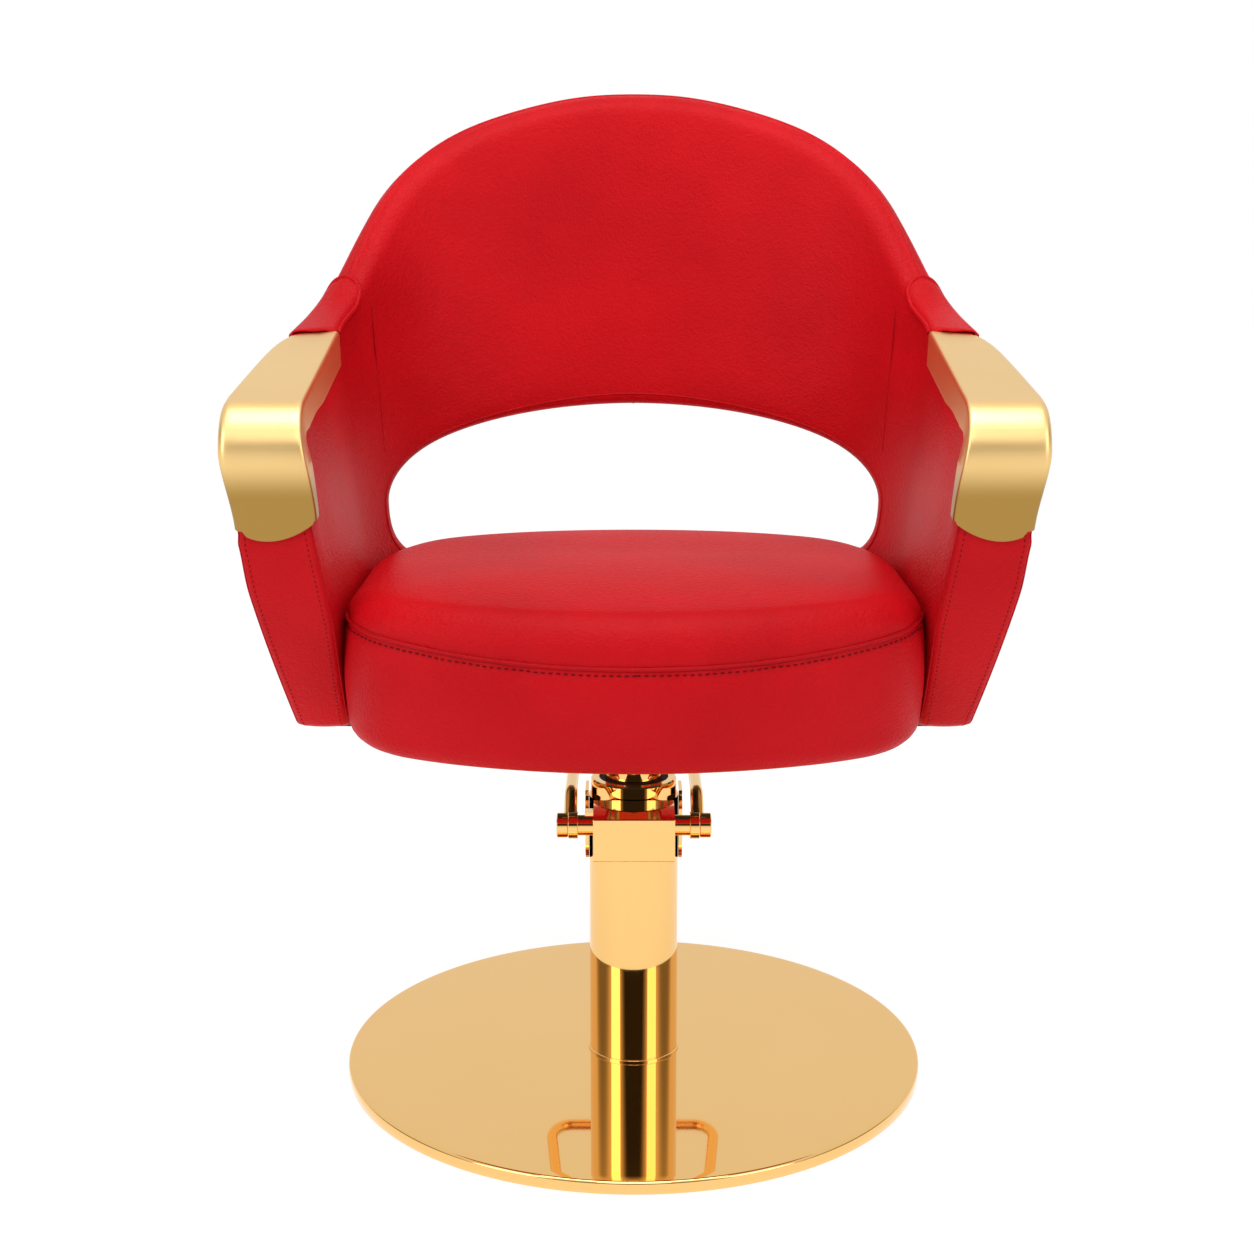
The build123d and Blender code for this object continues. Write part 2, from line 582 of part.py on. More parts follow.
# ---------------------------------------------------------------- ram
def make_ram():
    ram_low = DISC_TOP + FOOT_T + RAM_FLOOR
    ram = rod(RAM_D / 2, ram_low + PISTON_H, RAM_TOP) + rod(SPIGOT_D / 2, RAM_TOP, RAM_TOP + SPIGOT_H)
    ram = ram - rod(RAM_D / 2 - RAM_WALL, ram_low + PISTON_H - 1, RAM_TOP - 20)
    clip_z = RAM_TOP + SPIGOT_H - CLIP_DROP
    ram = ram - tube(SPIGOT_D / 2 + 1, SPIGOT_D / 2 - CLIP_GROOVE, clip_z, clip_z + CLIP_T)
    save(ram, "ram")
    piston = rod(BARREL_ID / 2 - FIT, ram_low, ram_low + PISTON_H)
    seal_z = ram_low + PISTON_H / 2
    groove = tube(BARREL_ID, BARREL_ID / 2 - SEAL_DEPTH, seal_z - SEAL_W / 2, seal_z + SEAL_W / 2)
    save(piston - groove, "piston_head")
    seal = tube(BARREL_ID / 2 - FIT, BARREL_ID / 2 - SEAL_DEPTH, seal_z - SEAL_W / 2, seal_z + SEAL_W / 2)
    save(seal, "piston_seal")
    washer = tube(RAM_D / 2 - 1, SPIGOT_D / 2 + FIT, RAM_TOP, RAM_TOP + WASHER_T)
    save(washer, "thrust_washer")
    clip = tube(SPIGOT_D / 2 + CLIP_LIP, SPIGOT_D / 2 - CLIP_GROOVE, clip_z, clip_z + CLIP_T)
    clip = clip - block(-3, 3, -SPIGOT_D, 0, clip_z - 1, clip_z + CLIP_T + 1)
    save(clip, "retaining_clip")


# ---------------------------------------------------------------- seat carrier
def make_carrier():
    plate_top = SEAT_LOW - RAIL_T
    plate_low = plate_top - PLATE_T
    hub_low = RAM_TOP + WASHER_T + GAP
    hub = rod(HUB_D / 2, hub_low, plate_low)
    hub = hub + rod(HUB_FLANGE_D / 2, plate_low - HUB_FLANGE_T, plate_low)
    hub = hub - rod(SPIGOT_D / 2 + FIT, hub_low - 1, plate_low + 1)
    clip_room = RAM_TOP + SPIGOT_H - CLIP_DROP - GAP
    hub = hub - rod(SPIGOT_D / 2 + CLIP_LIP + 1, clip_room, plate_low + 1)
    save(hub, "seat_hub")

    side = PLATE_SIDE / 2
    reach = PLATE_BOLT_SPACING / 2
    corners = [(x, y) for x in (-reach, reach) for y in (-reach, reach)]
    plate = block(-side, side, -side, side, plate_low, plate_top)
    plate = fillet(plate.edges().filter_by(Axis.Z), PLATE_CORNER)
    bolts = []
    nuts = []
    board_holes = []
    rail_holes = []
    for x, y in corners:
        plate = plate - rod(BOLT_D / 2 + GAP, plate_low - 1, plate_top + 1, x, y)
        shank = rod(BOLT_D / 2, plate_low - 1, SEAT_LOW + BOARD_T - 2, x, y)
        bolts.append(shank + rod(BOLT_HEAD_D / 2, plate_low - BOLT_HEAD_H, plate_low, x, y))
        nut = tube(BOLT_D / 2 + 1.5, BOLT_D / 2 + FIT, SEAT_LOW + 2, SEAT_LOW + BOARD_T - T_NUT_FLANGE, x, y)
        flange = tube(BOLT_D, BOLT_D / 2 + FIT, SEAT_LOW + BOARD_T - T_NUT_FLANGE, SEAT_LOW + BOARD_T, x, y)
        nuts.append(nut + flange)
        board_holes.append(rod(BOLT_D / 2 + 1.5 + FIT, SEAT_LOW - 1, SEAT_LOW + BOARD_T + 1, x, y))
        board_holes.append(rod(BOLT_D + FIT, SEAT_LOW + BOARD_T - T_NUT_FLANGE, SEAT_LOW + BOARD_T + 1, x, y))
        rail_holes.append(rod(BOLT_D / 2 + GAP, plate_top - 1, SEAT_LOW + 1, x, y))
    save(plate, "mounting_plate")
    save(Compound(children=bolts), "plate_bolts")
    save(Compound(children=nuts), "t_nuts")

    screws = []
    rails = []
    leg_x = BRACKET_X - BRACKET_LEG / 2
    screw_xs = [side * x for side in (-1, 1) for x in (leg_x, RAIL_SCREW_X)]
    for y in (-RAIL_Y, RAIL_Y):
        rail_half = outer_x(y + RAIL_W / 2, SHELL_LOW) - RAIL_SHORT
        rail = block(-rail_half, rail_half, y - RAIL_W / 2, y + RAIL_W / 2, plate_top, SEAT_LOW)
        for cutter in rail_holes:
            rail = rail - cutter
        for x in screw_xs:
            rail = rail - rod(SCREW_D / 2 + FIT, plate_top - 1, SEAT_LOW + 1, x, y)
            shank = rod(SCREW_D / 2, plate_top - 0.5, SEAT_LOW + SCREW_BITE, x, y)
            screws.append(shank + rod(SCREW_HEAD_D / 2, plate_top - SCREW_HEAD_H, plate_top, x, y))
        rails.append(rail)
    save(rails[0], "front_cross_rail")
    save(rails[1], "rear_cross_rail")
    save(Compound(children=screws), "rail_screws")
    screw_holes = [rod(SCREW_D / 2 + FIT, SEAT_LOW - 1, SEAT_LOW + SCREW_BITE + 0.5, x, y)
                   for x in screw_xs for y in (-RAIL_Y, RAIL_Y)]
    return board_holes, screw_holes


def make_seat(board_holes, screw_holes):
    board = extrude(seat_face(SEAT_LOW, BOARD_INSET), BOARD_T, dir=(0, 0, 1))
    for cutter in board_holes + screw_holes:
        board = board - cutter
    save(board, "seat_board")
    cushion = extrude(seat_face(SEAT_LOW), SEAT_CROWN - SEAT_LOW, dir=(0, 0, 1))
    cushion = fillet(cushion.edges().group_by(Axis.Z)[-1], SEAT_TOP_ROUND)
    cushion = fillet(cushion.edges().group_by(Axis.Z)[0], SEAT_LOW_ROUND)
    pocket = extrude(seat_face(SEAT_LOW - 1, BOARD_INSET - GAP), BOARD_T + 1 + GAP, dir=(0, 0, 1))
    save(cushion - pocket, "seat_cushion")


# ---------------------------------------------------------------- shell, arms and caps
def shell_body():
    """The whole tub before the arm caps are let into it."""
    outer = []
    inner = []
    for z in (SHELL_LOW, SHELL_KNEE, SHELL_TOP + 10):
        outer.append(tub_face(z, outer_half(z), SHELL_REF_Y, side_taper(z), back_y(z), SHELL_CORNER,
                              SHELL_BACK_R, -300))
    for z in (SHELL_LOW - 10, SHELL_IN_KNEE, SHELL_KNEE, SHELL_TOP + 20):
        inner.append(tub_face(z, inner_half(z), SHELL_REF_Y, 0.0, back_y(z) - SHELL_BACK_T, SHELL_IN_CORNER,
                              SHELL_IN_BACK_R, -310))
    wrap = loft(outer, ruled=True) - loft(inner, ruled=True)
    side = extrude(side_profile(), 400, both=True)
    arch = extrude(front_arch(), 400, both=True)
    return wrap & side & arch


def window_cutter():
    """Splayed oval that opens the back between the seat and the back rest."""
    mid = (WINDOW_LOW + WINDOW_TOP) / 2
    rise = (WINDOW_TOP - WINDOW_LOW) / 2
    near, far = WINDOW_NEAR, back_y(SHELL_TOP) + 20
    sections = []
    for y, half in ((near, WINDOW_HALF), (far, WINDOW_HALF + WINDOW_SPLAY)):
        plane = Plane(origin=(0, y, mid), x_dir=(1, 0, 0), z_dir=(0, -1, 0))
        sections.append(plane * Ellipse(half, rise).face())
    return loft(sections, ruled=True)



def arm_line(y, shift=0.0):
    """Height of the arm's straight top at a given depth."""
    slope = (ARM_REAR[1] - ARM_FRONT_TOP[1]) / (ARM_REAR[0] - ARM_FRONT_TOP[0])
    return ARM_FRONT_TOP[1] + slope * (y - ARM_FRONT_TOP[0]) + shift


def front_line(z, shift=0.0):
    """Depth of the arm's straight front at a given height."""
    slope = (ARM_FRONT_TOP[0] - ARM_FRONT_MID[0]) / (ARM_FRONT_TOP[1] - ARM_FRONT_MID[1])
    return ARM_FRONT_TOP[0] - slope * (ARM_FRONT_TOP[1] - z) + shift


def cap_region(inset, extra):
    """Side view of a cap, drawn in by an inset and run on past its open ends by an extra."""
    lift = CAP_PROUD - inset
    rear = CAP_REAR_Y + extra
    low = CAP_LOW - extra
    side_low = CAP_SIDE_REAR + extra
    corner_z = arm_line(front_line(ARM_FRONT_TOP[1]), lift)
    points = [
        (rear, arm_line(rear) - side_low),
        (rear, arm_line(rear, lift)),
        (front_line(corner_z, -lift), corner_z),
        (front_line(low, -lift), low),
        (front_line(low) + CAP_SIDE_FRONT + extra, low),
        (front_line(ARM_FRONT_TOP[1]) + CAP_SIDE_MID + extra, arm_line(-200.0) - CAP_SIDE_MID - extra),
    ]
    radii = [0, 0, ARM_ROLL_R + lift, 0, 0, CAP_SIDE_MID]
    with BuildSketch(Plane.YZ) as sketch:
        with BuildLine():
            FilletPolyline(*points, radius=radii, close=True)
        make_face()
    return sketch.sketch.faces()[0]


def arm_prism(inset, y_front, y_rear):
    """Upright wedge between the inner and outer faces of the left arm, drawn in by an inset."""
    sections = []
    for z in (ARM_PRISM_LOW, SHELL_KNEE, ARM_PRISM_TOP):
        x_in = inner_half(z) + inset
        corners = [
            (x_in, y_front, z),
            (outer_x(y_front, z) - inset, y_front, z),
            (outer_x(y_rear, z) - inset, y_rear, z),
            (x_in, y_rear, z),
        ]
        sections.append(Face(Wire.make_polygon(corners)))
    return loft(sections, ruled=True)


def cap_solid(inset, extra=0.0):
    """Solid that fills the left arm cap down to a given depth below its outer face."""
    region = extrude(cap_region(inset, extra), 500, dir=(1, 0, 0))
    return region & arm_prism(inset - CAP_PROUD, -280, 60)


def arm_strip():
    """Leather strip laid along the left arm's top, from the cap to its end on the back's rim."""
    start = CAP_REAR_Y + 2 * GAP
    lines = []
    with BuildSketch(Plane.YZ) as sketch:
        with BuildLine():
            for shift in (GAP, GAP + STRIP_T):
                points = [(start, arm_line(start, shift)), (ARM_REAR[0], ARM_REAR[1] + shift),
                          (RIM_TOP_Y, SHELL_TOP + shift)]
                lines.append(FilletPolyline(*points, radius=ARM_REAR_R))
            Line(lines[0] @ 0, lines[1] @ 0)
            Line(lines[0] @ 1, lines[1] @ 1)
        make_face()
    band = extrude(sketch.sketch.faces()[0], 500, dir=(1, 0, 0))
    return band & arm_prism(STRIP_INSET, 0, STRIP_END)


def make_shell(screw_holes):
    shell = shell_body() - window_cutter()
    cap = cap_solid(0.0) - cap_solid(CAP_T, CAP_EXTRA)
    pocket = cap_solid(0.0) - cap_solid(CAP_T + GAP, CAP_EXTRA)
    strip = arm_strip()
    studs = []
    stud_holes = []
    core = cap_solid(CAP_T, CAP_EXTRA)
    for y in STUD_YS:
        top = arm_line(y)
        studs.append(rod(STUD_D / 2, top - STUD_L, top + 5, STUD_X, y) & core)
        stud_holes.append(rod(STUD_D / 2 + GAP, top - STUD_L - 2, top + 5, STUD_X, y))
    x_low, x_high = BRACKET_X - BRACKET_T / 2, BRACKET_X + BRACKET_T / 2
    y_low, y_high = -RAIL_Y - BRACKET_W / 2, -RAIL_Y + BRACKET_W / 2
    leg_low = x_high - BRACKET_LEG - BRACKET_T / 2
    bracket = block(x_low, x_high, y_low, y_high, SHELL_LOW, BRACKET_TOP)
    bracket = bracket + block(leg_low, x_high, y_low, y_high, SHELL_LOW, SHELL_LOW + BRACKET_T)
    slot = block(x_low - GAP, x_high + GAP, y_low - GAP, y_high + GAP, SHELL_LOW - 1, BRACKET_TOP + GAP)
    leg_top = SHELL_LOW + BRACKET_T + GAP
    slot = slot + block(leg_low - GAP, x_high, y_low - GAP, y_high + GAP, SHELL_LOW - 1, leg_top)
    for cutter in screw_holes:
        bracket = bracket - cutter
    for cutter in [pocket, slot] + stud_holes:
        shell = shell - cutter
        shell = shell - mirrored(cutter)
    for cutter in screw_holes:
        shell = shell - cutter
    save(shell, "tub_shell")
    left = {"arm_cap": cap, "arm_strip": strip, "arm_bracket": bracket}
    for name, shape in left.items():
        save(shape, name + "_left")
        save(mirrored(shape), name + "_right")
    save(Compound(children=studs), "cap_studs_left")
    save(Compound(children=[mirrored(stud) for stud in studs]), "cap_studs_right")


make_base()
make_head()
make_block()
make_pump()
make_pedal()
make_ram()
board_cuts, screw_cuts = make_carrier()
make_seat(board_cuts, screw_cuts)
make_shell(screw_cuts)
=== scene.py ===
# %% [markdown]
# # Hydraulic salon chair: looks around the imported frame
# The frame gives every part at its true place and size, in metres. This lesson adds the soft
# pieces (tub shell, seat cushion, arm strips), the bent metal arm caps, the sewing, and a finish
# for every part, then sets the camera and the light.

# %% Load the frame
import json
import math
import bpy
import bmesh
from mathutils import Matrix, Vector


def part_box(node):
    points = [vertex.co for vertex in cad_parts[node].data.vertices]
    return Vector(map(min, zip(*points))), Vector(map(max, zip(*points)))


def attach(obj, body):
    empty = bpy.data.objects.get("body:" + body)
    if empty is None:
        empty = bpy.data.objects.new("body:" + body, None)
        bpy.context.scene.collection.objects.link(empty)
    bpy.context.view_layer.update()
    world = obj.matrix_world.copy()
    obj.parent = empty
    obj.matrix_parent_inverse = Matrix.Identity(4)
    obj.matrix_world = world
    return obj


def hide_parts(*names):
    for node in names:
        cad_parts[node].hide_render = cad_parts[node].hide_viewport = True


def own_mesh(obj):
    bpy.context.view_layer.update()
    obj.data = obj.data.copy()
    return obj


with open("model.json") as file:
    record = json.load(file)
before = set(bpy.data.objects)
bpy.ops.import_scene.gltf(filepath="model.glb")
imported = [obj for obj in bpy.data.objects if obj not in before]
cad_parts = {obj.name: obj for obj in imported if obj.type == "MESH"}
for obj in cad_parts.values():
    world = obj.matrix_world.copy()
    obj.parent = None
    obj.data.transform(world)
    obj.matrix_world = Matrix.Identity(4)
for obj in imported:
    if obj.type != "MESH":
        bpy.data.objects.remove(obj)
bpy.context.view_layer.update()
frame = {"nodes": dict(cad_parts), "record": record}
MM = 0.001

# %% [markdown]
# ## Camera
# The chair is seen straight from the front, from a little above the seat, with a long lens so
# that upright lines stay nearly upright. A camera object takes its view from its own -Z axis, so
# it is turned about X only.

# %% Camera
lens_data = bpy.data.cameras.new("front_view")
lens_data.lens = 55.58
lens_data.sensor_width = 36.0
camera = bpy.data.objects.new("front_view", lens_data)
camera.location = (-0.0067, -1.8557, 0.85305)
camera.rotation_euler = (math.radians(90 - 12.1746), 0, 0)
bpy.context.scene.collection.objects.link(camera)
bpy.context.scene.camera = camera
print("camera placed")

# %% [markdown]
# ## Small helpers
# Most soft pieces here are one closed skin. The easy way to build such a skin is to take a flat
# grid from bmesh.ops.create_grid, move each vertex to its place by a rule, and merge the edges
# that meet. The rule gets two whole numbers, the vertex's column and row, so the shape stays
# readable and the mesh has even quads that bend well under subdivision.

# %% Helper: a grid moved by a rule
def finish_mesh(bm, name, smooth=True, outward=True):
    """Turn a bmesh into an object whose place is in its mesh."""
    if outward:
        bmesh.ops.recalc_face_normals(bm, faces=bm.faces)
    for face in bm.faces:
        face.smooth = smooth
    mesh = bpy.data.meshes.new(name)
    bm.to_mesh(mesh)
    bm.free()
    piece = bpy.data.objects.new(name, mesh)
    bpy.context.scene.collection.objects.link(piece)
    return piece


def skin(name, columns, rows, place, merge=0.02):
    """A grid whose vertex (column, row) is moved to place(column, row), in millimetres."""
    bm = bmesh.new()
    bmesh.ops.create_grid(bm, x_segments=columns, y_segments=rows, size=1.0)
    for vertex in bm.verts:
        column = round((vertex.co.x + 1) / 2 * columns)
        row = round((vertex.co.y + 1) / 2 * rows)
        vertex.co = Vector(place(column, row)) * MM
    bmesh.ops.remove_doubles(bm, verts=bm.verts, dist=merge * MM)
    return finish_mesh(bm, name)


print("skin helper ready")

# %% [markdown]
# ## Two small formulas
# Nearly every shape below is made of two formulas. One mixes two numbers. The other rises
# smoothly from 0 to 1 between two places, and is used wherever one surface has to flow into
# another without an edge.

# %% Helpers: mix and smoothstep
def smoothstep(low, high, x):
    """0 below low, 1 above high, and a smooth rise between them (a fall, if low is above high)."""
    t = min(max((x - low) / (high - low), 0.0), 1.0)
    return t * t * (3 - 2 * t)


def mix(a, b, t):
    """The number a share t of the way from a to b."""
    return a + (b - a) * t


print("half way from 10 to 20, straight and smooth:", mix(10, 20, 0.5), mix(10, 20, smoothstep(0, 1, 0.5)))

# %% [markdown]
# ## The plan of the tub
# Seen from above, the inner and the outer face of the tub are each a straight side, a corner arc
# and a wide back arc. Both faces are read with the same running distance: 0 at the middle of the
# back, growing to the front of the arm. A point between the two faces is then a plain mix of the
# two, which gives the padding its thickness.

# %% Plan outline of the two faces
SIDE_START = 430.0    # running distance at which the straight sides begin
SIDE_REAR_Y = -200.0  # place at which the half-width of the sides is given
SEAT_LOW = 380.0      # underside of the shell and of the seat cushion
KNEE = 694.0          # height where the sides stop leaning outwards
INNER_KNEE = 490.0    # height where the inner faces start to lean outwards


def face_numbers(z, outer):
    """Half-width, taper, back, corner radius and back radius of one face at a height."""
    back = 240 + 0.105 * (z - SEAT_LOW)
    rise = (min(z, KNEE) - SEAT_LOW) / (KNEE - SEAT_LOW)
    if outer:
        swell = 4.5 * (1 - rise ** 4) + 2 * math.sin(math.pi * rise)
        return mix(314, 352, rise) + swell, math.radians(mix(3.0, 6.7, rise)), back, 200.0, 480.0
    lean = min(max((z - INNER_KNEE) / (KNEE - INNER_KNEE), 0.0), 1.0)
    return mix(266, 285, lean), 0.0, back - 45, 165.0, 435.0


def plan_point(z, run, outer):
    """Place (x, y) on one face at a height and a running distance from the middle of the back."""
    half, taper, back, corner, wide = face_numbers(z, outer)
    side = 1 if run >= 0 else -1
    run = abs(run)
    c, s = math.cos(taper), math.sin(taper)
    if run >= SIDE_START:
        y = SIDE_START - run
        return side * (half + (SIDE_REAR_Y - y) * s / c), y
    reach = half * c + SIDE_REAR_Y * s
    turn = math.asin((reach - corner - (back - wide) * s) / (wide - corner)) - taper
    cx = (wide - corner) * math.sin(turn)
    cy = back - wide + (wide - corner) * math.cos(turn)
    bend = math.pi / 2 - taper - turn
    straight = (cy + corner * s) / c
    length = wide * turn + corner * bend + straight
    along = run / SIDE_START * length
    if along < wide * turn:
        angle = along / wide
        return side * wide * math.sin(angle), back - wide + wide * math.cos(angle)
    along -= wide * turn
    if along < corner * bend:
        angle = turn + along / corner
        return side * (cx + corner * math.sin(angle)), cy + corner * math.cos(angle)
    along -= corner * bend
    return side * (cx + corner * c + along * s), cy + corner * s - along * c


def tub_point(z, run, depth):
    """Place between the inner face (depth 0) and the outer face (depth 1)."""
    xi, yi = plan_point(z, run, False)
    xo, yo = plan_point(z, run, True)
    return Vector((mix(xi, xo, depth), mix(yi, yo, depth), z))


print("tub at the knee: inner half-width", round(plan_point(KNEE, SIDE_START, False)[0]),
      "mm, outer", round(plan_point(KNEE, SIDE_START, True)[0]), "mm")

# %% [markdown]
# ## The edge of the tub, unrolled
# Unrolled flat, the tub is a strip with a low front edge on each arm, a sloping arm top and a
# high rounded back, and a long oval window in the middle. Two views give the rim's height. This
# cell is the first of them, the arch of the back seen from the front: a wide arc over the top, a
# tighter shoulder arc on each side, and a straight run down to the arm.

# %% Arch of the back
ARCH_TOP = 973.0     # top of the back
ARCH_R = 450.0       # radius of the arc over the top
ARCH_TURN = 24.0     # degrees that arc turns on each side
SHOULDER_X = 183.0   # half-width at which the shoulder arc takes over
FOOT_X = 287.0       # half-width at which the straight run begins
FOOT_TURN = 67.8     # degrees the arch has turned there
ARCH_LOWEST = 600.0  # the run ends well inside the arm


def arch_height(x):
    """Height of the back's arch seen from the front."""
    x = abs(x)
    x = x - 7 * smoothstep(110, 200, x) * smoothstep(315, 265, x)
    if x < SHOULDER_X:
        return ARCH_TOP - ARCH_R + math.sqrt(ARCH_R ** 2 - x * x)
    first, last = math.radians(ARCH_TURN), math.radians(FOOT_TURN)
    shoulder = (FOOT_X - SHOULDER_X) / (math.sin(last) - math.sin(first))
    cx = SHOULDER_X - shoulder * math.sin(first)
    cz = ARCH_TOP - ARCH_R * (1 - math.cos(first)) - shoulder * math.cos(first)
    if x < FOOT_X:
        return cz + math.sqrt(shoulder ** 2 - (x - cx) ** 2)
    foot = cz + shoulder * math.cos(last)
    return max(foot - (x - FOOT_X) * math.tan(last), ARCH_LOWEST)


print("arch at its foot:", round(arch_height(FOOT_X)), "mm high")

# %% [markdown]
# ## Height of the rim
# The second view is from the side: a gentle slope over the arm, and a steep one up the back. The
# rim follows the lower of the two lines, but never drops below the arm. Its height depends on
# where it is, and where it is depends on its height, because the sides lean, so a few rounds of
# guessing settle it. Averaging over a short distance then rounds the place where one line takes
# over from the other.

# %% Height of the rim
ARM_REAR_Y, ARM_REAR_Z = 93.0, 754.0  # where the arm's slope meets the back's
ARM_SLOPE = 70 / 338
BACK_SLOPE = 219 / 155
RIM_TOP = 971.5                       # the leather's rim stays a little under the top


def side_height(y):
    """Height of the rim seen from the side."""
    slope = ARM_SLOPE if y < ARM_REAR_Y else BACK_SLOPE
    return ARM_REAR_Z + (y - ARM_REAR_Y) * slope


def raw_rim(run):
    """Height of the rim at a running distance, before it is averaged."""
    z = 800.0
    for _ in range(12):
        x, y = plan_point(z, run, True)
        arm = ARM_REAR_Z + (min(y, ARM_REAR_Y) - ARM_REAR_Y) * ARM_SLOPE
        z = mix(z, min(side_height(y), max(arch_height(x), arm)), 0.6)
    return min(z, RIM_TOP)


RIM_STEP = 5.0
rim_table = [raw_rim(i * RIM_STEP) for i in range(140)]


def rim_height(run):
    """The rim's height, averaged over 50 mm either way of the arm's rear end."""
    total = 0.0
    weight = 0.0
    for k in range(-9, 10):
        at = min(abs(run + k * RIM_STEP) / RIM_STEP, 138.9)
        i = int(at)
        w = 10 - abs(k)
        total += w * mix(rim_table[i], rim_table[i + 1], at - i)
        weight += w
    return total / weight


print("rim over the arm's front:", round(rim_height(SIDE_START + 180)), "mm")
print("rim at the back:", round(rim_height(0)), "mm")

# %% [markdown]
# ## Front edge of the arm
# The arm's front is three pieces joined: a long edge that leans forward as it rises, bent a
# little in its lower part, then a round roll, then the rim. Written as a line of points, it
# gives one half of the tub's unrolled outline, from the bottom middle to the top middle.

# %% Outline of the tub
FRONT_LOW_Y, FRONT_LOW_Z = 219.0, 572.0    # how far ahead of the column's axis the front edge is
FRONT_HIGH_Y, FRONT_HIGH_Z = 245.0, 684.0  # ... and where its straight run would end
FRONT_LEAN = (FRONT_HIGH_Y - FRONT_LOW_Y) / (FRONT_HIGH_Z - FRONT_LOW_Z)
FRONT_FOOT_Y = 110.0                       # the same at the bottom of the shell
ROLL_Y, ROLL_Z, ROLL_R = 189.54, 648.5, 46.0
OUTLINE_STEP = 4


def front_run(z):
    """Running distance of the arm's front edge at a height."""
    if z < FRONT_LOW_Z:
        t = (z - SEAT_LOW) / (FRONT_LOW_Z - SEAT_LOW)
        return SIDE_START + mix(FRONT_FOOT_Y, FRONT_LOW_Y, t) + 9 * 4 * t * (1 - t)
    return SIDE_START + FRONT_LOW_Y + (z - FRONT_LOW_Z) * FRONT_LEAN


def outline_half():
    """Points (run, z) along one half of the outline, from the bottom middle to the top middle."""
    points = [(run, SEAT_LOW) for run in range(0, int(front_run(SEAT_LOW)) - 5, OUTLINE_STEP)]
    z = SEAT_LOW + OUTLINE_STEP
    while z < 636:
        points.append((front_run(z), z))
        z += OUTLINE_STEP
    for k in range(15):
        a = math.radians(mix(-13.0, 78.3, k / 14))
        points.append((SIDE_START + ROLL_Y + ROLL_R * math.cos(a), ROLL_Z + ROLL_R * math.sin(a)))
    run = SIDE_START + 198
    while run > 0:
        points.append((run, rim_height(run)))
        run -= OUTLINE_STEP
    points.append((0.0, rim_height(0)))
    return points


def resample(points, count):
    """The same line with points an even distance apart."""
    lengths = [0.0]
    for a, b in zip(points, points[1:]):
        lengths.append(lengths[-1] + math.dist(a, b))
    result = []
    k = 0
    for i in range(count + 1):
        target = lengths[-1] * i / count
        while k < len(points) - 2 and lengths[k + 1] < target:
            k += 1
        span = max(lengths[k + 1] - lengths[k], 1e-9)
        t = (target - lengths[k]) / span
        result.append(tuple(mix(p, q, t) for p, q in zip(points[k], points[k + 1])))
    return result


HALF_COLUMNS = 240
half_outline = resample(outline_half(), HALF_COLUMNS)
outline = half_outline + [(-r, z) for r, z in half_outline[-2:0:-1]]
COLUMNS = len(outline)
print("outline of the tub:", COLUMNS, "columns")

# %% [markdown]
# ## The window
# The opening behind the seat is an oval that widens towards the outer face. For each column the
# oval's edge lies where the line from the window's middle to the outline crosses it.

# %% Window edge
WINDOW_Z = 559.5      # height of the window's middle
WINDOW_RISE = 89.5    # from its middle to its top
WINDOW_HALF = 227.0   # half-width where the shell is 60 mm behind the column's axis
UPPER_POWER = 1.88    # 2 is an ellipse, and more is squarer
LOWER_POWER = 2.8


def inside_window(run, z, outer):
    """Whether a place on one face lies in the window."""
    x, y = plan_point(z, run, outer)
    half = WINDOW_HALF + max(y - 60, -60) * 0.40
    power = UPPER_POWER if z > WINDOW_Z else LOWER_POWER
    return (abs(x) / half) ** power + (abs(z - WINDOW_Z) / WINDOW_RISE) ** power < 1


def window_edge(target, outer):
    """Where the line from the window's middle to an outline point leaves the window."""
    low, high = 0.0, 1.0
    for _ in range(16):
        t = (low + high) / 2
        if inside_window(target[0] * t, mix(WINDOW_Z, target[1], t), outer):
            low = t
        else:
            high = t
    return (target[0] * low, mix(WINDOW_Z, target[1], low))


edges = [(window_edge(p, False), window_edge(p, True)) for p in outline]
print("window edge found for", len(edges), "columns")

# %% [markdown]
# ## Where the cap sits
# The metal cap lies flush with the leather, so the padding is let in under it, as an upholsterer
# would rebate the foam. The let-in follows the cap's slanted rear end and its curved lower end,
# and the swell of the faces fades out towards it, so that no dent shows beside the metal.

# %% Let-in for the cap
CAP_REAR_IN, CAP_REAR_OUT = 412.0, 427.0   # running distance of the cap's rear end, in and out
CAP_IN, CAP_OUT = 272.0, 341.0             # half-width of the cap's two edges near its lower end


def cap_end(x):
    """Height of the curved lower end of the metal arm cap at a half-width."""
    return 575 + (18 * ((315 - x) / 44) ** 2 if x < 315 else 9 * ((x - 315) / 26) ** 2)


def under_cap(run, z, d):
    """How far the padding is let in for the metal cap, and how far its swell fades, each 0 to 1."""
    d = min(max(d, 0), 1)
    rear = mix(CAP_REAR_IN, CAP_REAR_OUT, d)
    end = cap_end(mix(CAP_IN, CAP_OUT, d))
    below = 0.6 * smoothstep(end - 60, end - 12, z) + 0.4 * smoothstep(end - 10, end - 3, z)
    fade = smoothstep(rear - 110, rear + 4, abs(run)) * smoothstep(end - 70, end + 2, z)
    return smoothstep(rear - 1, rear + 4, abs(run)) * below, fade


print("cap's lower end in its middle:", cap_end(315), "mm high")

# %% [markdown]
# ## Section through the padding
# Every column has the same section: up the inner face, round the rim, down the outer face, and
# round the window's edge back to the start. The rim of the back is almost a half circle, while
# the arm fronts have tight sewn corners, so the corner radius changes along the outline. The
# faces swell by a few millimetres between their edges, as foam under leather does.

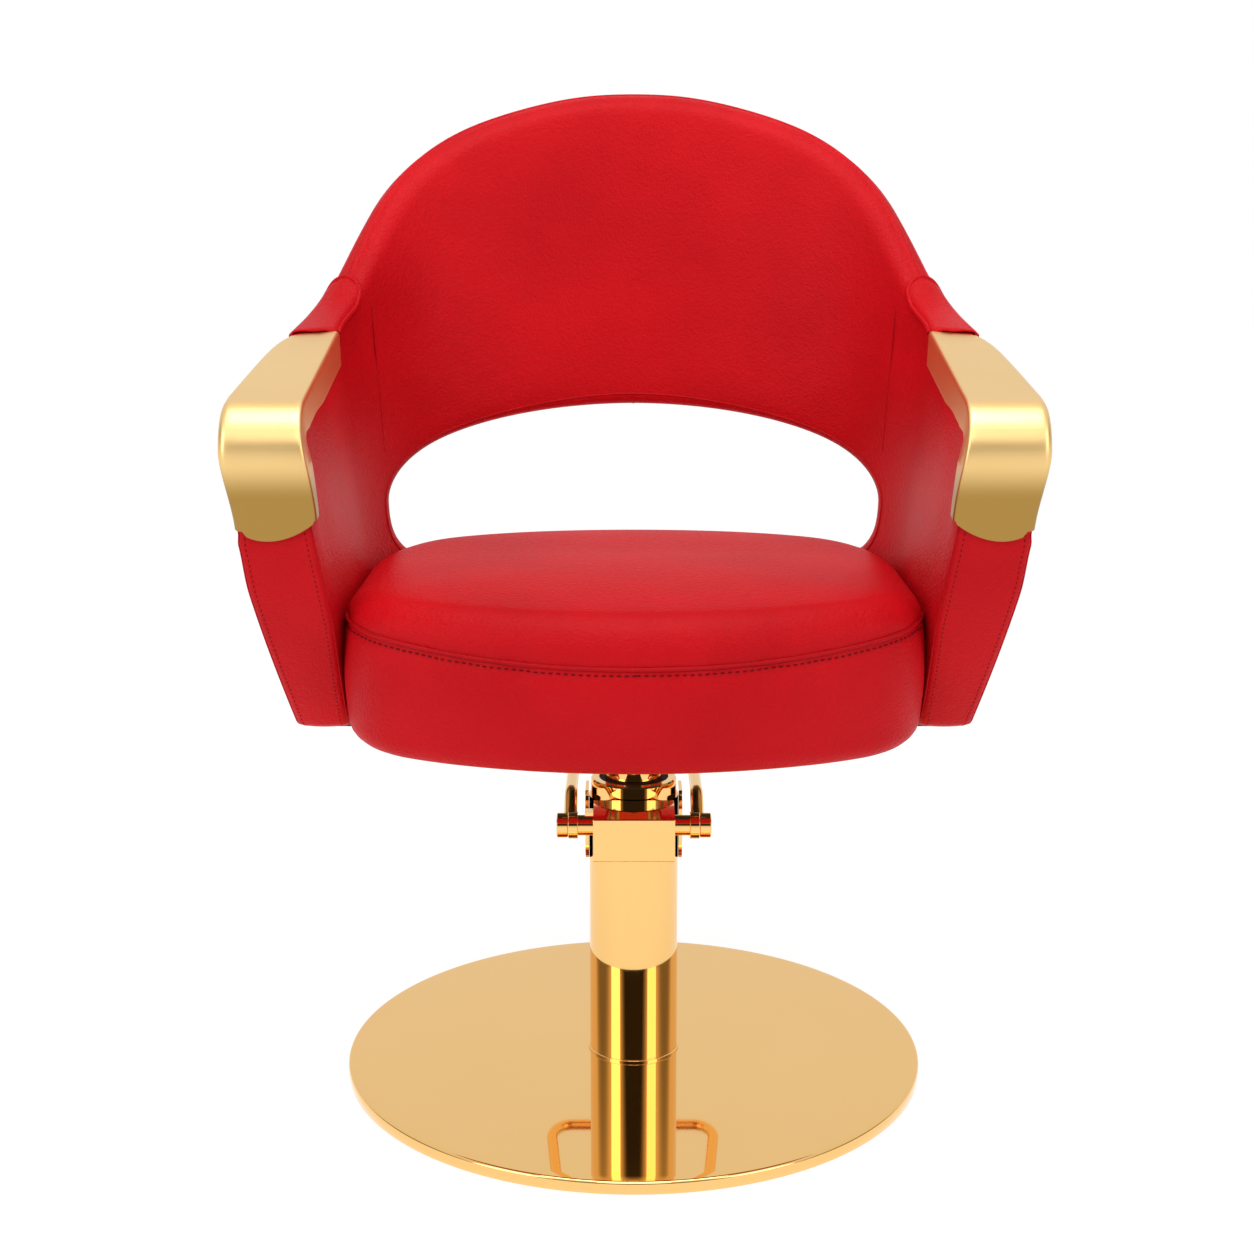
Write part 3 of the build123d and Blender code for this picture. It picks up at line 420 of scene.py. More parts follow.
# %% Stations round one section
FACE_STEPS = 26
ARC_STEPS = 6
RIM_STEPS = 6
REVEAL_STEPS = 5
EDGE_ROUND = 11.0                     # rounding of the window's edge
INNER_SWELL, OUTER_SWELL, RIM_SWELL = 4.0, 2.0, 1.5


def corner_radius(run, z, thick):
    """Rounding of the rim's corners: tight on the arms, nearly a half circle on the back."""
    high = smoothstep(SIDE_START - 40, SIDE_START - 190, abs(run)) * smoothstep(700, 760, z)
    return min(mix(7.0, 21.0, high), thick * 0.47)


def swelling(f):
    """Share of a face's swell at a share of the way across it."""
    return (4 * f * (1 - f)) ** 0.6


def rim_stations(thick, radius, w_radius, reach_in, reach_out):
    """Up the inner face, round the rim and down the outer face.

    Each is (mm in from the rim, mm from the window's edge, depth): one of the first two is None."""
    quarter = [math.pi / 2 * k / ARC_STEPS for k in range(1, ARC_STEPS + 1)]
    for k in range(FACE_STEPS + 1):
        f = k / FACE_STEPS
        yield None, mix(w_radius, reach_in - radius, f), -INNER_SWELL * swelling(f)
    for a in quarter:
        yield radius * (1 - math.sin(a)), None, radius * (1 - math.cos(a))
    for k in range(1, RIM_STEPS + 1):
        f = k / RIM_STEPS
        yield -RIM_SWELL * 4 * f * (1 - f), None, mix(radius, thick - radius, f)
    for a in quarter:
        yield radius * (1 - math.cos(a)), None, thick - radius * (1 - math.sin(a))
    for k in range(1, FACE_STEPS + 1):
        f = 1 - k / FACE_STEPS
        yield None, mix(w_radius, reach_out - radius, f), thick + OUTER_SWELL * swelling(f)


def window_stations(w_thick, w_radius):
    """Round the window's edge, from the outer face back to the inner one."""
    for k in range(1, ARC_STEPS + 1):
        a = math.pi / 2 * k / ARC_STEPS
        yield None, w_radius * (1 - math.sin(a)), w_thick - w_radius * (1 - math.cos(a))
    for k in range(1, REVEAL_STEPS + 1):
        yield None, 0.0, mix(w_radius, w_thick - w_radius, 1 - k / REVEAL_STEPS)
    for k in range(1, ARC_STEPS):
        a = math.pi / 2 * k / ARC_STEPS
        yield None, w_radius * (1 - math.cos(a)), w_radius * (1 - math.sin(a))


ROW_RIM_IN = FACE_STEPS + ARC_STEPS // 2        # row on the rim's inner corner
ROW_RIM_OUT = FACE_STEPS + ARC_STEPS + RIM_STEPS + ARC_STEPS // 2
ROW_WINDOW_OUT = ROW_RIM_OUT + ARC_STEPS // 2 + FACE_STEPS + ARC_STEPS // 2
print("rows on the rim's two corners:", ROW_RIM_IN, ROW_RIM_OUT)

# %% [markdown]
# ## From a station to a place
# A station only says how far in from the rim and how deep in the padding a vertex is. The place
# comes from the line between the window's edge and the outline at that column. Under the cap the
# vertex is moved in from the rim and away from both faces, down to the length of the cap's side.

# %% Place of a section's vertices
CAP_LET_IN = 4.4             # how far the rim is let in under the cap
CAP_SIDE_LET_IN = 2.2, 6.6   # added to the depth, and taken off the thickness


def section_place(column, from_rim, from_window, deep, thickness):
    """The place of one station on a column's section."""
    target, (inner_edge, outer_edge) = outline[column], edges[column]
    d = deep / thickness
    edge = (mix(inner_edge[0], outer_edge[0], d), mix(inner_edge[1], outer_edge[1], d))
    reach = math.dist(edge, target)
    cover, fade = under_cap(target[0], target[1], d)
    if fade > 0:
        inset = from_rim if from_window is None else reach - from_window
        wall = mix(33, 15, smoothstep(660, 590, target[1]))
        flat = min(max(d, 0), 1)
        d = mix(d, flat, fade * (1 - smoothstep(wall + 10, wall + 80, inset)))
        cover = cover * (1 - smoothstep(wall - 2, wall + 3, inset))
        added, taken = CAP_SIDE_LET_IN
        squeezed = added + min(max(deep, 0), thickness) * (thickness - taken) / thickness
        d = mix(d, squeezed / thickness, cover)
        from_rim, from_window = inset + CAP_LET_IN * cover, None
    t = 1 - from_rim / reach if from_window is None else from_window / reach
    return tub_point(mix(edge[1], target[1], t), mix(edge[0], target[0], t), d)


def section(column):
    """The closed list of places on one column's section."""
    run, z = outline[column]
    inner_edge, outer_edge = edges[column]
    thick = (tub_point(z, run, 1) - tub_point(z, run, 0)).length
    radius = corner_radius(run, z, thick)
    window_in = tub_point(inner_edge[1], inner_edge[0], 0)
    window_out = tub_point(outer_edge[1], outer_edge[0], 1)
    w_thick = (window_out - window_in).length
    w_radius = min(EDGE_ROUND, w_thick * 0.45)
    reach_in, reach_out = math.dist(inner_edge, (run, z)), math.dist(outer_edge, (run, z))
    spots = [section_place(column, *station, thick)
             for station in rim_stations(thick, radius, w_radius, reach_in, reach_out)]
    window = window_stations(w_thick, w_radius)
    return spots + [section_place(column, *station, w_thick) for station in window]


tub = [section(i) for i in range(COLUMNS)]
ROWS = len(tub[0])
print("section has", ROWS, "rows")

# %% [markdown]
# ## The shell's skin
# With every place known, the grid is moved to them. The first and last column meet behind, the
# first and last row meet at the window's edge, so merging doubles closes the skin like a ring.

# %% Shell skin
shell = skin("tub_skin", COLUMNS, ROWS, lambda i, j: tub[i % COLUMNS][j % ROWS])
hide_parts("tub_shell")
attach(shell, "seat")
print("shell:", len(shell.data.polygons), "faces")

# %% [markdown]
# ## Seams
# Where two pieces of leather meet, the turned edge under them lifts a narrow ridge. It could be
# pushed out of the skin itself, but that needs very fine rows. A thin tube on a smooth curve,
# half sunk in the leather, gives the same line of light with few faces. Blender bevels the curve,
# and the result is kept as a mesh.

# %% Helper: ridge
def ridge(name, points, radius, closed=False):
    """A thin tube along points given in millimetres."""
    data = bpy.data.curves.new(name, "CURVE")
    data.dimensions = "3D"
    line = data.splines.new("NURBS")
    line.points.add(len(points) - 1)
    for spot, p in zip(line.points, points):
        spot.co = (p[0] * MM, p[1] * MM, p[2] * MM, 1)
    line.order_u = 3
    line.use_cyclic_u = closed
    line.use_endpoint_u = not closed
    line.resolution_u = 2
    data.bevel_depth = radius * MM
    data.bevel_resolution = 2
    data.use_fill_caps = True
    bent = bpy.data.objects.new(name + "_curve", data)
    bpy.context.scene.collection.objects.link(bent)
    bpy.context.view_layer.update()
    mesh = bpy.data.meshes.new_from_object(bent.evaluated_get(bpy.context.evaluated_depsgraph_get()))
    bpy.data.objects.remove(bent)
    mesh.name = name
    for polygon in mesh.polygons:
        polygon.use_smooth = True
    piece = bpy.data.objects.new(name, mesh)
    bpy.context.scene.collection.objects.link(piece)
    return piece


def ride_seat(piece):
    """Say that a piece moves with the seat."""
    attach(piece, "seat")


seams = []
print("ridge helper ready")

# %% [markdown]
# ## Stitches
# A row of stitches runs beside each seam. They are short rounded beads set along the seam's line:
# one small form, repeated, so that hundreds of them stay light.

# %% Helper: stitches
def even_spots(points, pitch):
    """Places an even distance apart along a line, each with the direction of the line."""
    spots = []
    left = pitch / 2
    for a, b in zip(points, points[1:]):
        step = Vector(b) - Vector(a)
        length = step.length
        while left < length:
            spots.append((Vector(a) + step * (left / length), step.normalized()))
            left += pitch
        left -= length
    return spots


def stitches(name, points, pitch=5.2, length=3.4, radius=0.45):
    """A row of small beads along points given in millimetres."""
    bm = bmesh.new()
    for middle, along in even_spots(points, pitch):
        turn = along.to_track_quat("X", "Z").to_matrix().to_4x4()
        size = Matrix.Diagonal((length / 2 * MM, radius * MM, radius * MM, 1))
        bmesh.ops.create_uvsphere(bm, u_segments=6, v_segments=5, radius=1.0,
                                  matrix=Matrix.Translation(middle * MM) @ turn @ size)
    return finish_mesh(bm, name, outward=False)


threads = []
print("stitch helper ready")

# %% [markdown]
# ## Where the shell is sewn
# The arm fronts are narrow panels sewn in with a seam on both edges. A seam runs down inside and
# outside where the sides meet the back, one goes round the window on each face, and one follows
# the rim behind. Most of them follow a row or a column of the skin. The one inside crosses the
# rows, so its places are read from the swollen face.

# %% Lines on the shell
def column_near(run, z, side=1):
    """The column of the outline nearest to a place."""
    return min(range(COLUMNS), key=lambda i: math.dist(outline[i], (run * side, z)))


def row_line(row, first, last):
    """The line along a row of the tub between two columns, counting upwards round the outline."""
    count = (last - first) % COLUMNS
    return [tub[(first + k) % COLUMNS][row % ROWS] for k in range(count + 1)]


def inner_face(run, z):
    """A place on the swollen inner face, read from the nearest column."""
    def bearing(p):
        return math.atan2(p[1] - WINDOW_Z, p[0])
    at = min(range(COLUMNS), key=lambda i: abs(bearing(outline[i]) - bearing((run, z))))
    edge, target = edges[at][0], outline[at]
    f = min(max((math.dist((run, z), edge) - EDGE_ROUND) / (math.dist(edge, target) - 25), 0), 1)
    thick = (tub_point(target[1], target[0], 1) - tub_point(target[1], target[0], 0)).length
    return tub_point(z, run, -INNER_SWELL * swelling(f) / thick)


print("column at the front's foot:", column_near(SIDE_START + 100, SEAT_LOW))

# %% [markdown]
# ## Sewing the shell
# Each side gets its front seams and stitches, the joint inside and the joint outside. The names
# left and right are the sitter's.

# %% Shell seams
SIDES = ((1, "left"), (-1, "right"))
FRONT_SEAM, JOINT_SEAM, RIM_SEAM = 0.9, 0.7, 1.0   # radius of the ridges
for side, tag in SIDES:
    low = column_near(SIDE_START + 100, SEAT_LOW, side)
    high = column_near(SIDE_START + 228, 600, side)
    first, last = (low, high) if side > 0 else (high, low)
    inner_line = row_line(ROW_RIM_IN - 1, first, last)
    outer_line = row_line(ROW_RIM_OUT + 1, first, last)
    seams.append(ridge("front_seam_inner_" + tag, inner_line, FRONT_SEAM))
    seams.append(ridge("front_seam_outer_" + tag, outer_line, FRONT_SEAM))
    threads.append(stitches("front_stitch_inner_" + tag, row_line(ROW_RIM_IN + 3, first, last)))
    threads.append(stitches("front_stitch_outer_" + tag, row_line(ROW_RIM_OUT - 3, first, last)))
    seams.append(ridge("inside_seam_" + tag, [inner_face(side * 306, 612 + 6 * k) for k in range(26)], 0.6))
    arm = column_near(300, 790, side)
    seams.append(ridge("outside_seam_" + tag,
                       [tub[arm][j] for j in range(ROW_RIM_OUT + 4, ROW_WINDOW_OUT)], JOINT_SEAM))
window_in = [tub[i][0] for i in range(COLUMNS)]
window_out = [tub[i][ROW_WINDOW_OUT] for i in range(COLUMNS)]
window_joint = [tub[HALF_COLUMNS][j % ROWS] for j in range(ROW_WINDOW_OUT, ROWS + 1)]
seams.append(ridge("window_seam", window_in, FRONT_SEAM, closed=True))
seams.append(ridge("window_seam_outer", window_out, FRONT_SEAM, closed=True))
seams.append(ridge("window_joint", window_joint, JOINT_SEAM))
rim_first = column_near(SIDE_START + 10, 735, 1)
rim_last = column_near(SIDE_START + 10, 735, -1)
seams.append(ridge("rim_seam", row_line(ROW_RIM_OUT + 3, rim_first, rim_last), RIM_SEAM))
threads.append(stitches("rim_stitch", row_line(ROW_RIM_OUT + 4, rim_first, rim_last)))
print("shell seams:", len(seams), "ridges")

# %% [markdown]
# ## Seat cushion
# The cushion is a boxed one: a crowned top panel is sewn to an upright band, which rolls under
# at the bottom. Its outline, seen from above, is made of tangent arcs. The skin is a grid whose
# columns go round the outline and whose rows go from the middle of the underside, up the band and
# in over the crown. At the seam the leather is drawn in by two millimetres.

# %% Cushion outline
def arc_points(cx, cy, radius, start, end, step=4.0):
    """Points on an arc, with angles from the +X axis in radians, and the outward direction."""
    count = max(2, int(abs(end - start) * radius / step))
    return [(cx + radius * math.cos(a), cy + radius * math.sin(a), math.cos(a), math.sin(a))
            for a in [mix(start, end, k / count) for k in range(count + 1)]]


SEAT_HALF = 263.0                       # half-width of the cushion
FRONT_Y, FRONT_R = -266.0, 450.0        # front edge in the middle, and the radius of its arc
FRONT_CORNER = 100.0
BACK_Y, BACK_R = 188.0, 430.0
BACK_CORNER = 140.0


def seat_half():
    """The right half of the cushion's outline, from the front middle to the back middle."""
    front_cx, back_cx = SEAT_HALF - FRONT_CORNER, SEAT_HALF - BACK_CORNER
    front_turn = math.asin(front_cx / (FRONT_R - FRONT_CORNER))
    front_cy = FRONT_Y + FRONT_R - (FRONT_R - FRONT_CORNER) * math.cos(front_turn)
    back_turn = math.asin(back_cx / (BACK_R - BACK_CORNER))
    back_cy = BACK_Y - BACK_R + (BACK_R - BACK_CORNER) * math.cos(back_turn)
    q = math.pi / 2
    points = arc_points(0, FRONT_Y + FRONT_R, FRONT_R, -q, -q + front_turn)
    points += arc_points(front_cx, front_cy, FRONT_CORNER, -q + front_turn, 0)[1:]
    count = int((back_cy - front_cy) / 5)
    points += [(SEAT_HALF, mix(front_cy, back_cy, k / count), 1, 0) for k in range(1, count)]
    points += arc_points(back_cx, back_cy, BACK_CORNER, 0, q - back_turn)
    points += arc_points(0, BACK_Y - BACK_R, BACK_R, q - back_turn, q)[1:]
    return points


seat_line = resample(seat_half(), 240)
seat_outline = seat_line + [(-x, y, -nx, ny) for x, y, nx, ny in seat_line[-2:0:-1]]
SEAT_COLUMNS = len(seat_outline)
print("cushion outline:", SEAT_COLUMNS, "columns")

# %% [markdown]
# ## Rows of the cushion
# The rows are written once, as how far in from the outline and how high. Under the cushion and
# over its crown they are shares of the way to the middle, so the rings close up evenly there. At
# the seam three rows lie close together, which keeps the drawn-in line sharp.

# %% Cushion rows
SEAM_Z = 472.0                # height of the seam at the front
CROWN = 50.0                  # rise of the crown above the seam
BAND_LOW_Z = SEAT_LOW + 20    # where the band starts to roll under
SHOULDER_IN, SHOULDER_UP = 36.0, 42.0


def seat_rows():
    """Rows as (kind, how far in from the outline or share of the way to the middle, height)."""
    rows = [("share", share, SEAT_LOW) for share in (1.0, 0.66, 0.4)]
    rows.append(("inset", 40.0, SEAT_LOW))
    for k in range(7):
        a = math.radians(mix(0, 90, k / 6))
        rows.append(("inset", 18 * (1 - math.sin(a)) + 0.5, SEAT_LOW + 20 * (1 - math.cos(a))))
    for k in range(1, 9):
        f = k / 9
        rows.append(("inset", 0.5 - 3.0 * math.sin(math.pi * f), mix(BAND_LOW_Z, SEAM_Z - 3, f)))
    rows += [("inset", 1.6, SEAM_Z - 2.0), ("inset", 3.2, SEAM_Z), ("inset", 2.4, SEAM_Z + 2.4)]
    for k in range(1, 9):
        a = math.radians(mix(0, 90, k / 8))
        up = 2.4 + SHOULDER_UP * math.sin(a) ** 0.9
        rows.append(("inset", 2 + SHOULDER_IN * (1 - math.cos(a)), SEAM_Z + up))
    top_start = SHOULDER_UP + 2.4
    for k in range(1, 15):
        f = k / 14
        rows.append(("top", f, SEAM_Z + top_start + (CROWN + 1 - top_start) * (1 - (1 - f) ** 2)))
    return rows


seat_sections = seat_rows()
ROW_SEAM = next(k for k, row in enumerate(seat_sections) if row[1:] == (3.2, SEAM_Z))
print("cushion rows:", len(seat_sections), "seam on row", ROW_SEAM)

# %% [markdown]
# ## Shaping the cushion
# A plain boxed cushion looks stiff. This one's seam climbs towards the sides, its front underside
# sags a little, its back is lifted, and beside the seam the leather puckers slightly where the
# thread pulls it. The pucker is a sum of sines of the column, so it is the same on every run.

# %% Cushion
SEAT_MIDDLE = (0.0, -30.0)
SIDE_LIFT = 21.0     # how much higher the seam is at the sides
REAR_LIFT = 8.0
FRONT_SAG = 3.5
TOP_START, UNDER_START = 38.0, 40.0   # how far in the rings towards the middle begin


def seat_place(column, row):
    """The rule for the cushion's skin."""
    x, y, nx, ny = seat_outline[column % SEAT_COLUMNS]
    kind, amount, z = seat_sections[row]
    if z < SEAM_Z:
        share = (z - BAND_LOW_Z) / (SEAM_Z - BAND_LOW_Z)
    else:
        share = (SEAM_Z + CROWN + 1 - z) / (CROWN + 1)
    z += SIDE_LIFT * (abs(x) / SEAT_HALF) ** 2.2 * min(max(share, 0), 1)
    if z < BAND_LOW_Z + 2:
        z -= FRONT_SAG * smoothstep(-150, -235, y)
    rear_lift = REAR_LIFT * min(max((z - SEAM_Z) / 40, 0), 1)
    if kind == "inset":
        near = math.exp(-((row - ROW_SEAM) / 3.5) ** 2) if row != ROW_SEAM else 0
        pucker = math.sin(column * 0.31) * math.sin(column * 0.113 + 1) + 0.6 * math.sin(column * 0.53 + 2)
        amount += 0.7 * near * pucker
        x, y = x - nx * amount, y - ny * amount
    else:
        start = TOP_START if kind == "top" else UNDER_START
        x = mix(x - nx * start, SEAT_MIDDLE[0], amount)
        y = mix(y - ny * start, SEAT_MIDDLE[1], amount)
    return x, y, z + rear_lift * smoothstep(20, 160, y)


cushion = skin("seat_cushion_skin", SEAT_COLUMNS, len(seat_sections) - 1, seat_place)
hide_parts("seat_cushion")
ride_seat(cushion)
print("cushion:", len(cushion.data.polygons), "faces")

# %% [markdown]
# ## Sewing the cushion
# A fine piping lies in the drawn-in seam, and the stitches run just under it, on the band.

# %% Cushion seam
def seat_seam_point(i, row, lift, out):
    """A place on the cushion's seam, moved up and outwards a little."""
    nx, ny = seat_outline[i % SEAT_COLUMNS][2:]
    return Vector(seat_place(i, row)) + Vector((nx * out, ny * out, lift))


piping_line = [seat_seam_point(i, ROW_SEAM, 0.4, 1.2) for i in range(SEAT_COLUMNS)]
stitch_line = [seat_seam_point(i, ROW_SEAM - 1, -2.6, 1.0) for i in range(SEAT_COLUMNS + 1)]
seams.append(ridge("seat_piping", piping_line, 1.9, closed=True))
threads.append(stitches("seat_stitch", stitch_line, pitch=6.5, length=4.6, radius=0.75))
print("rows of stitches:", len(threads))

# %% [markdown]
# ## Arm caps
# Each arm ends in a cap bent from thick sheet: it follows the arm's top, rolls over the front and
# ends in a shallow curve, and its sides turn down over the leather. A grid is laid along the
# arm's side view, then Solidify gives the sheet its thickness and Bevel breaks its edges, so
# that they catch the light.

# %% Line of the arm in side view
ARM_STEPS = 300
ROLL_START, ROLL_END = 101.7, 193.0    # degrees at which the roll takes over and ends
ROLL_FOOT_Z = 638.1


def arm_path():
    """Points (y, z) from the cap's rear end, over the roll, down the front of the arm."""
    points = [(20 - 3 * k, side_height(20 - 3 * k)) for k in range(73)]
    for k in range(0, 25):
        a = math.radians(mix(ROLL_START, ROLL_END, k / 24))
        points.append((-ROLL_Y + ROLL_R * math.cos(a), ROLL_Z + ROLL_R * math.sin(a)))
    for k in range(1, 24):
        z = ROLL_FOOT_Z - 3 * k
        points.append((-FRONT_LOW_Y - (z - FRONT_LOW_Z) * FRONT_LEAN, z))
    return points


arm_line = resample(arm_path(), ARM_STEPS)
arm_length = sum(math.dist(a, b) for a, b in zip(arm_line, arm_line[1:]))


def along_arm(distance):
    """Place (y, z) and outward direction at a distance from the cap's rear end."""
    at = min(max(distance / arm_length * ARM_STEPS, 0), ARM_STEPS - 0.001)
    i = int(at)
    y, z = (mix(p, q, at - i) for p, q in zip(arm_line[i], arm_line[i + 1]))
    dy, dz = arm_line[i + 1][0] - arm_line[i][0], arm_line[i + 1][1] - arm_line[i][1]
    size = math.hypot(dy, dz)
    return y, z, dz / size, -dy / size


print("arm line:", round(arm_length), "mm")

# %% [markdown]
# ## Edges of the cap
# Seen from above the cap flares towards the front. Seen from the front its two edges draw in
# again over its lower half, and its lower end is a shallow curve.

# %% Edges of the cap
def cap_outer(y, z):
    """Half-width of the cap's outer edge: it flares towards the front."""
    ahead = max(5 - y, 0)
    wide = 329 + 10 * (1 - math.exp(-ahead / 25)) + 11.5 * min(ahead / 170, 1.1)
    return wide - 9.0 * smoothstep(655, 580, z)


def cap_inner(z):
    """Half-width of the cap's inner edge."""
    return 282.5 - 11.5 * smoothstep(700, 590, z)


def cap_last(x):
    """Distance along the arm at which the cap ends, at a half-width."""
    x = min(max(x, CAP_IN - 1), CAP_OUT)
    return arm_length - (cap_end(x) - (ROLL_FOOT_Z - 69)) * math.hypot(1, FRONT_LEAN)


print("cap width at its front:", round(cap_outer(-150, 700) - cap_inner(700)), "mm")

# %% [markdown]
# ## Stations across the cap
# Across the arm the sheet goes up the inner side, round a tight bend, over the top, round a wider
# bend and down the outer side. Each row of the grid is one station of that walk.

# %% Stations across the cap
CAP_ALONG = 96
CAP_SIDE = 8
CAP_BEND = 5
CAP_TOP = 16
BEND_IN, BEND_OUT = 3.5, 7.0
WALL_IN, WALL_OUT = (34, 15), (30, 10)     # length of the cap's sides, behind and in front
cap_stations = [("in", 1 - k / CAP_SIDE) for k in range(CAP_SIDE)]
cap_stations += [("bend_in", k / CAP_BEND) for k in range(CAP_BEND)]
cap_stations += [("top", k / CAP_TOP) for k in range(CAP_TOP)]
cap_stations += [("bend_out", k / CAP_BEND) for k in range(CAP_BEND)]
cap_stations += [("out", k / CAP_SIDE) for k in range(CAP_SIDE + 1)]


def across_cap(kind, amount, x_in, x_out, shrink):
    """Half-width and drop below the top at a station; shrink shortens the sides, 0 to 1."""
    a = math.pi / 2 * amount
    if kind == "in":
        return x_in, mix(BEND_IN, mix(*WALL_IN, shrink), amount)
    if kind == "bend_in":
        return x_in + BEND_IN * (1 - math.cos(a)), BEND_IN * (1 - math.sin(a))
    if kind == "top":
        return mix(x_in + BEND_IN, x_out - BEND_OUT, amount), 0.0
    if kind == "bend_out":
        return x_out - BEND_OUT * (1 - math.sin(a)), BEND_OUT * (1 - math.cos(a))
    return x_out, mix(BEND_OUT, mix(*WALL_OUT, shrink), amount)


print("stations across the cap:", len(cap_stations))

# %% [markdown]
# ## Bending the caps
# The grid is laid along the arm. Where the cap begins and ends depends on how far out a vertex
# is, and how far out it is depends on where along the arm it lies, so three rounds of guessing
# settle it. Solidify then gives the sheet its thickness, inwards, and Bevel breaks its edges.

# %% Arm caps
CAP_RISE = 0.8           # how far the sheet's outer face stands above the arm's line
CAP_THICKNESS = 2.5


def cap_place(side):
    """The rule for one cap's skin."""
    def place(column, row):
        kind, amount = cap_stations[row]
        f = column / CAP_ALONG
        guess = 313.0
        for _ in range(3):
            rear = mix(3, 17, smoothstep(284, 330, guess))
            y, z, ny, nz = along_arm(mix(rear, cap_last(guess), f))
            x_in, x_out = cap_inner(z), cap_outer(y, z)
            if kind in ("in", "bend_in"):
                guess = x_in
            elif kind == "top":
                guess = mix(x_in + BEND_IN, x_out - BEND_OUT, amount)
            else:
                guess = x_out
        x, drop = across_cap(kind, amount, x_in, x_out, smoothstep(0.72, 1.0, f))
        return side * x, y + ny * (CAP_RISE - drop), z + nz * (CAP_RISE - drop)
    return place


def make_cap(side, tag):
    """One cap: a sheet whose faces point outwards, thickened and with soft edges."""
    cap = skin("arm_cap_sheet_" + tag, CAP_ALONG, len(cap_stations) - 1, cap_place(side))
    bm = bmesh.new()
    bm.from_mesh(cap.data)
    bmesh.ops.recalc_face_normals(bm, faces=bm.faces)
    top = max(bm.faces, key=lambda f: f.calc_center_median().z)
    if top.normal.z < 0:
        bmesh.ops.reverse_faces(bm, faces=bm.faces)
    bm.to_mesh(cap.data)
    bm.free()
    wall = cap.modifiers.new("sheet", "SOLIDIFY")
    wall.thickness = CAP_THICKNESS * MM
    wall.offset = -1
    soft = cap.modifiers.new("edges", "BEVEL")
    soft.width = 0.7 * MM
    soft.segments = 3
    soft.limit_method = "ANGLE"
    soft.angle_limit = math.radians(50)
    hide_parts("arm_cap_" + tag)
    ride_seat(cap)
    return cap


caps = [make_cap(side, tag) for side, tag in SIDES]
print("caps:", [len(c.data.polygons) for c in caps])

# %% [markdown]
# ## Arm strips
# Behind each cap a strip of leather covers the arm's top and ends in a rounded tongue on the
# rim, edged with a fine piping. It could be cut out of the shell's skin, but as its own sheet,
# laid on the rows of the shell's rim and lifted a little, it casts the small shadow that a second
# layer of leather has.

# %% Places on the rim
STRIP_ROW_IN = FACE_STEPS + 1.0
STRIP_ROW_OUT = FACE_STEPS + 2 * ARC_STEPS + RIM_STEPS - 1.0


def rim_place(run, across):
    """A place on the rim: across runs over the rows from its inner to its outer corner."""
    at = min(range(HALF_COLUMNS // 2, HALF_COLUMNS), key=lambda i: abs(outline[i][0] - run))
    row = mix(STRIP_ROW_IN, STRIP_ROW_OUT, across)
    j = int(row)
    a = tub[at][j].lerp(tub[at][j + 1], row - j)
    i2 = at + 1 if outline[at][0] > run else at - 1
    b = tub[i2][j].lerp(tub[i2][j + 1], row - j)
    span = outline[i2][0] - outline[at][0]
    t = (run - outline[at][0]) / span if span else 0
    spot = a.lerp(b, t)
    along = (b - a) * (1 if span < 0 else -1)
    over = tub[at][min(j + 2, ROWS - 1)] - tub[at][max(j - 1, 0)]
    return spot, over.cross(along).normalized()


print("rim place beside the cap:", [round(v) for v in rim_place(CAP_REAR_IN, 0.5)[0]])

# %% [markdown]
# ## Laying the strips
# The strip starts against the cap's slanted rear end. Its other end is rounded with a
# superellipse, which is fuller than a circle. The sheet rises at its edges by a bit less than
# in its middle, so that the piping stands on them.

# %% Arm strips
STRIP_BACK = 341.0    # running distance at which the tongue ends, at its edges
TONGUE = 26.0         # how much further its middle reaches
STRIP_COLUMNS, STRIP_ROWS = 40, 16
STRIP_LIFT, STRIP_CROWN, STRIP_LEATHER, STRIP_PIPING = 1.4, 1.3, 1.6, 2.7


def strip_place(side):
    """The rule for one strip's skin."""
    def place(column, row):
        along, across = column / STRIP_COLUMNS, row / STRIP_ROWS
        last = STRIP_BACK - TONGUE * math.sqrt(max(1 - abs(2 * across - 1) ** 2.6, 0))
        start = mix(CAP_REAR_IN - 1, CAP_REAR_OUT - 1, across)
        spot, out = rim_place(mix(start, last, along), across)
        edge = min(across, 1 - across, (1 - along) * 2) * 8
        spot = spot + out * (STRIP_LIFT + STRIP_CROWN * min(edge, 1))
        return side * spot.x, spot.y, spot.z
    return place


def strip_border(place):
    """Along the inner edge, round the tongue and back along the outer edge."""
    there = [place(c, 0) for c in range(STRIP_COLUMNS + 1)]
    tongue = [place(STRIP_COLUMNS, r) for r in range(1, STRIP_ROWS + 1)]
    return there + tongue + [place(c, STRIP_ROWS) for c in range(STRIP_COLUMNS - 1, -1, -1)]


strips, strip_edges = [], []
for side, tag in SIDES:
    place = strip_place(side)
    strip = skin("arm_strip_skin_" + tag, STRIP_COLUMNS, STRIP_ROWS, place)
    wall = strip.modifiers.new("leather", "SOLIDIFY")
    wall.thickness = STRIP_LEATHER * MM
    wall.offset = 0
    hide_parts("arm_strip_" + tag)
    ride_seat(strip)
    strips.append(strip)
    strip_edges.append(ridge("strip_piping_" + tag, strip_border(place), STRIP_PIPING))
print("arm strips:", [len(strip.data.polygons) for strip in strips])

# %% [markdown]
# ## Floor disc
# The disc is a mirror, so the frame's flat facets would show along its edge. A half section spun
# about the upright axis, with many steps, gives an even rounded edge.

